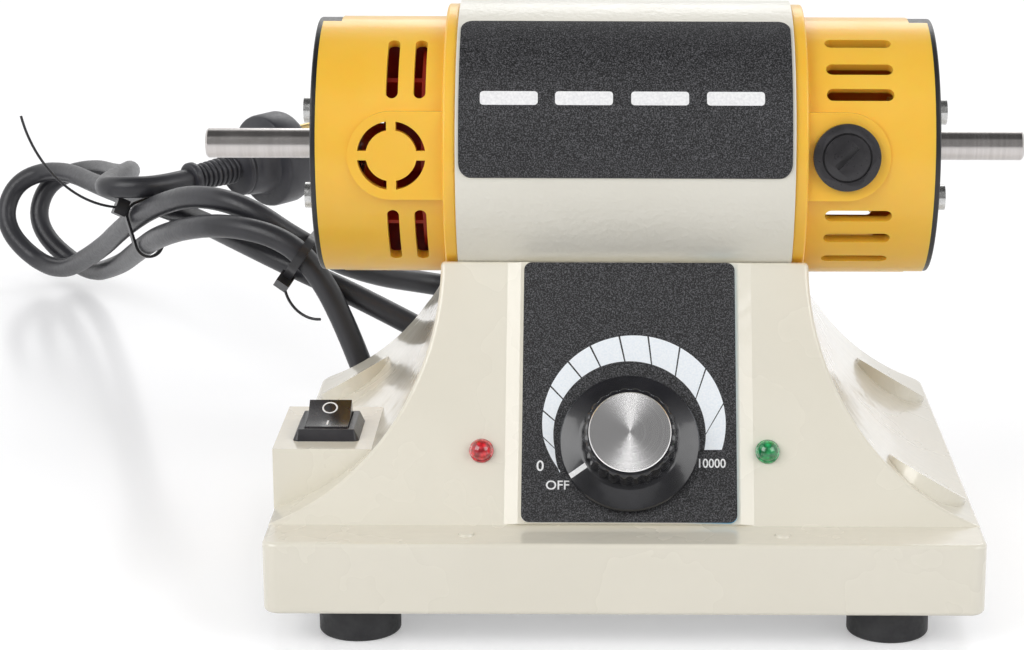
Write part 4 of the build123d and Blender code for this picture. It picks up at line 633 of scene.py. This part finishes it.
# Indicator lamps: small lenses of clear tinted plastic with cut facets inside, red on the left
# and green on the right, pressed into the panel beside the plate. The glints and shade of the
# facets are painted into the colour of the lens.
lamp_reach = 45.6
lamp_rise = 24.3
for side, tint, name in ((-1, (0.66, 0.008, 0.02), "red"), (1, (0.005, 0.36, 0.1), "green")):
    lens_rings = [(3.9, 0), (3.9, 0.8), (3.7, 1.15), (3.45, 1.25)]
    for step in range(1, 10):
        lens_rings.append((3.45 * cos(step * pi / 20), 1.25 + 2.95 * sin(step * pi / 20)))
    lens_rings.append((0.2, 4.2))
    lens = turned(f"{name}_lens", lens_rings, 48)
    bpy.ops.object.shade_smooth_by_angle(angle=radians(35))
    settle(lens, on_panel(side * lamp_reach, lamp_rise, 0))
    glass = finish(f"{name}_lens", tint, 0.12, coat=1.0)
    glass_shader = glass.node_tree.nodes["Principled BSDF"]
    glass_shader.inputs["Subsurface Weight"].default_value = 0.35
    glass_shader.inputs["Subsurface Scale"].default_value = 0.003
    # Painted glints and painted shade of the cut facets: a cell pattern that brightens the middle of each
    # facet and darkens its edges.
    facet_glints = glass.node_tree.nodes.new("ShaderNodeTexVoronoi")
    facet_glints.inputs["Scale"].default_value = 650
    facet_place = glass.node_tree.nodes.new("ShaderNodeTexCoord")
    glass.node_tree.links.new(facet_place.outputs["Object"], facet_glints.inputs["Vector"])
    # dark is the painted shade at the facet edges, and light is the painted glint in their middles.
    dark = tuple(0.45 * c for c in tint)
    light = tuple(min(1, 1.35 * c + 0.03) for c in tint)
    tones(glass, facet_glints.outputs["Distance"], light, dark, 0.1, 0.75)
    fit(lens, "base", f"{name}_lens", glass, f"lamp_{name}")

# Motor frame: a plain rolled steel tube that lies in the saddle of the base. Its cream paint has
# a fine pebbled skin.
pebbled_cream = finish("pebbled_cream", (0.79, 0.765, 0.68), 0.36, coat=0.25)
relief(pebbled_cream, speckle(pebbled_cream, 0.0022, detail=2.0), 0.0002)
relief(pebbled_cream, speckle(pebbled_cream, 0.009, detail=2.0), 0.00012)
tones(pebbled_cream, speckle(pebbled_cream, 0.05), (0.775, 0.75, 0.665), (0.805, 0.78, 0.695))
sheen_spread(pebbled_cream, speckle(pebbled_cream, 0.02), 0.3, 0.42)
dress(pebbled_cream, "motor_frame")

# Blank fields of the motor plate: four white bars with rounded corners, printed on the black
# sheet that is wrapped round the front of the frame.
motor_y = 0.0075
motor_z = 0.1416
plate_radius = 0.0488
ink_radius = 0.04884
bar_turn = radians(28.05)
bar_length = 0.0185
bar_height = 0.0046
bar_strips = 6
for count, middle in enumerate((-37.3, -13.3, 11.0, 35.2)):
    bpy.ops.object.select_all(action="DESELECT")
    bpy.ops.mesh.primitive_plane_add(size=1)
    bar = bpy.context.object
    bar.name = f"white_bar_{count + 1}"
    bar.scale = (bar_length, bar_height, 1)
    bpy.ops.object.transform_apply(location=True, rotation=True, scale=True)
    bpy.ops.object.mode_set(mode="EDIT")
    bpy.ops.mesh.select_all(action="SELECT")
    bpy.ops.mesh.bevel(offset=0.0011, segments=5, affect="VERTICES")
    for cut in range(1, bar_strips):
        bpy.ops.mesh.select_all(action="SELECT")
        bpy.ops.mesh.bisect(plane_co=(0, (cut / bar_strips - 0.5) * bar_height, 0), plane_no=(0, 1, 0))
    bpy.ops.object.mode_set(mode="OBJECT")
    for vertex in bar.data.vertices:
        along = vertex.co.x + middle / 1000
        turn = bar_turn + vertex.co.y / plate_radius
        vertex.co = (along, motor_y - ink_radius * cos(turn), motor_z + ink_radius * sin(turn))
    bpy.ops.object.mode_set(mode="EDIT")
    bpy.ops.mesh.select_all(action="SELECT")
    bpy.ops.mesh.normals_make_consistent(inside=False)
    bpy.ops.object.mode_set(mode="OBJECT")
    fit(bar, "base", "white_mark", print_white)

# End caps: thick yellow mouldings with cooling slots, glossy outside. The plastic lets some light
# through, so that it glows a deeper orange in the cuts and on its shaded edges.
cap_yellow = finish("cap_yellow", (0.96, 0.54, 0.05), 0.32, coat=0.25)
relief(cap_yellow, speckle(cap_yellow, 0.006, detail=1.0), 0.00004)
tones(cap_yellow, speckle(cap_yellow, 0.04), (0.95, 0.525, 0.046), (0.975, 0.56, 0.06))
sheen_spread(cap_yellow, speckle(cap_yellow, 0.02), 0.28, 0.38)
cap_shader = cap_yellow.node_tree.nodes["Principled BSDF"]
cap_shader.inputs["Subsurface Weight"].default_value = 0.3
cap_shader.inputs["Subsurface Radius"].default_value = (1.0, 0.35, 0.08)
cap_shader.inputs["Subsurface Scale"].default_value = 0.004
dress(cap_yellow, "end_cap_left", "end_cap_right")

# End plates: pressed steel in satin black paint, one on each cap, with a lug above and below and
# four screws round the shaft.
plate_paint = finish("plate_paint", (0.016, 0.016, 0.018), 0.36)
paint_grain = speckle(plate_paint, 0.0012)
relief(plate_paint, paint_grain, 0.00006)
tones(plate_paint, speckle(plate_paint, 0.02), (0.011, 0.011, 0.013), (0.024, 0.024, 0.027))
sheen_spread(plate_paint, paint_grain, 0.3, 0.42)
dress(plate_paint, "end_plate_left", "end_plate_right")

# Shaft: one steel bar, turned and then ground, with hardly seen rings that spread its gloss
# along it. Its two plain ends take polishing wheels.
turned_steel = finish("turned_steel", (0.6, 0.57, 0.555), 0.2, metal=1.0)
shaft_shader = turned_steel.node_tree.nodes["Principled BSDF"]
shaft_shader.inputs["Anisotropic"].default_value = 0.55
shaft_way = turned_steel.node_tree.nodes.new("ShaderNodeTangent")
shaft_way.direction_type = "RADIAL"
shaft_way.axis = "X"
turned_steel.node_tree.links.new(shaft_way.outputs["Tangent"], shaft_shader.inputs["Tangent"])
shaft_rings = speckle(turned_steel, 0.0011, (1.0, 0.02, 0.02), detail=2.0)
tones(turned_steel, shaft_rings, (0.57, 0.54, 0.525), (0.63, 0.6, 0.585))
relief(turned_steel, shaft_rings, 0.000002)
sheen_spread(turned_steel, speckle(turned_steel, 0.006), 0.17, 0.25)
dress(turned_steel, "motor_shaft", "pot_shaft")

# Bearings and brush springs: hardened steel, ground bright, with balls rolled to a mirror.
# The bearings are pressed into the hubs of the end caps.
ground_steel = finish("ground_steel", (0.66, 0.66, 0.67), 0.16, metal=1.0)
ground_lines = speckle(ground_steel, 0.0006)
relief(ground_steel, ground_lines, 0.00001)
tones(ground_steel, speckle(ground_steel, 0.004), (0.62, 0.62, 0.63), (0.7, 0.7, 0.71))
sheen_spread(ground_steel, ground_lines, 0.1, 0.24)
dress(ground_steel, "bearing_outer_rings", "bearing_inner_rings", "bearing_balls", "brush_springs")

# Inside the motor: a core of stacked steel sheets, varnished copper windings and commutator, a
# red moulded fan, and sintered ferrite magnets with carbon brushes.
core_sheet = finish("core_sheet", (0.14, 0.13, 0.13), 0.45, metal=1.0)
core_layers = speckle(core_sheet, 0.0005, (2.0, 0.05, 0.05))
tones(core_sheet, core_layers, (0.08, 0.075, 0.075), (0.2, 0.19, 0.19))
relief(core_sheet, core_layers, 0.00005)
dress(core_sheet, "armature_core")
wound_copper = finish("wound_copper", (0.45, 0.14, 0.06), 0.3, metal=0.7, coat=0.4)
copper_wires = speckle(wound_copper, 0.0012, (0.2, 1.0, 1.0))
tones(wound_copper, copper_wires, (0.22, 0.05, 0.02), (0.62, 0.22, 0.1))
relief(wound_copper, copper_wires, 0.0003)
dress(wound_copper, "armature_windings", "commutator")
fan_red = finish("fan_red", (0.6, 0.03, 0.012), 0.36)
relief(fan_red, speckle(fan_red, 0.003), 0.00006)
tones(fan_red, speckle(fan_red, 0.02), (0.5, 0.022, 0.01), (0.66, 0.04, 0.016))
sheen_spread(fan_red, speckle(fan_red, 0.008), 0.3, 0.42)
dress(fan_red, "cooling_fan")
ferrite = finish("ferrite", (0.05, 0.05, 0.052), 0.6)
ferrite_grain = speckle(ferrite, 0.0015)
relief(ferrite, ferrite_grain, 0.0001)
tones(ferrite, ferrite_grain, (0.035, 0.035, 0.037), (0.07, 0.07, 0.072))
dress(ferrite, "magnets", "carbon_brushes")

# Brush caps: black moulded plugs with a coin slot, one in the front and one in the back of the
# right cap, screwed over the carbon brushes.
cap_black = finish("cap_black", (0.022, 0.021, 0.023), 0.3)
cap_grain = speckle(cap_black, 0.0012)
relief(cap_black, cap_grain, 0.00004)
tones(cap_black, speckle(cap_black, 0.008), (0.016, 0.015, 0.017), (0.032, 0.03, 0.033))
sheen_spread(cap_black, cap_grain, 0.26, 0.38)
brush_cap = rounded_copy("brush_caps", "brush_cap_heads", 0.3, 2)
fit(brush_cap, "base", "black_plastic", cap_black, "brush_caps")

# Speed control inside the base: a green lacquered circuit board on brass posts, with dark
# moulded parts soldered on it.
board_green = finish("board_green", (0.03, 0.19, 0.07), 0.32)
board_tracks = speckle(board_green, 0.004)
tones(board_green, board_tracks, (0.02, 0.14, 0.05), (0.05, 0.25, 0.1))
relief(board_green, board_tracks, 0.00005)
sheen_spread(board_green, board_tracks, 0.26, 0.4)
dress(board_green, "control_board")
part_black = finish("part_black", (0.05, 0.05, 0.055), 0.4)
tones(part_black, speckle(part_black, 0.01), (0.035, 0.035, 0.04), (0.075, 0.075, 0.08))
relief(part_black, speckle(part_black, 0.0012), 0.00004)
dress(part_black, "board_components")
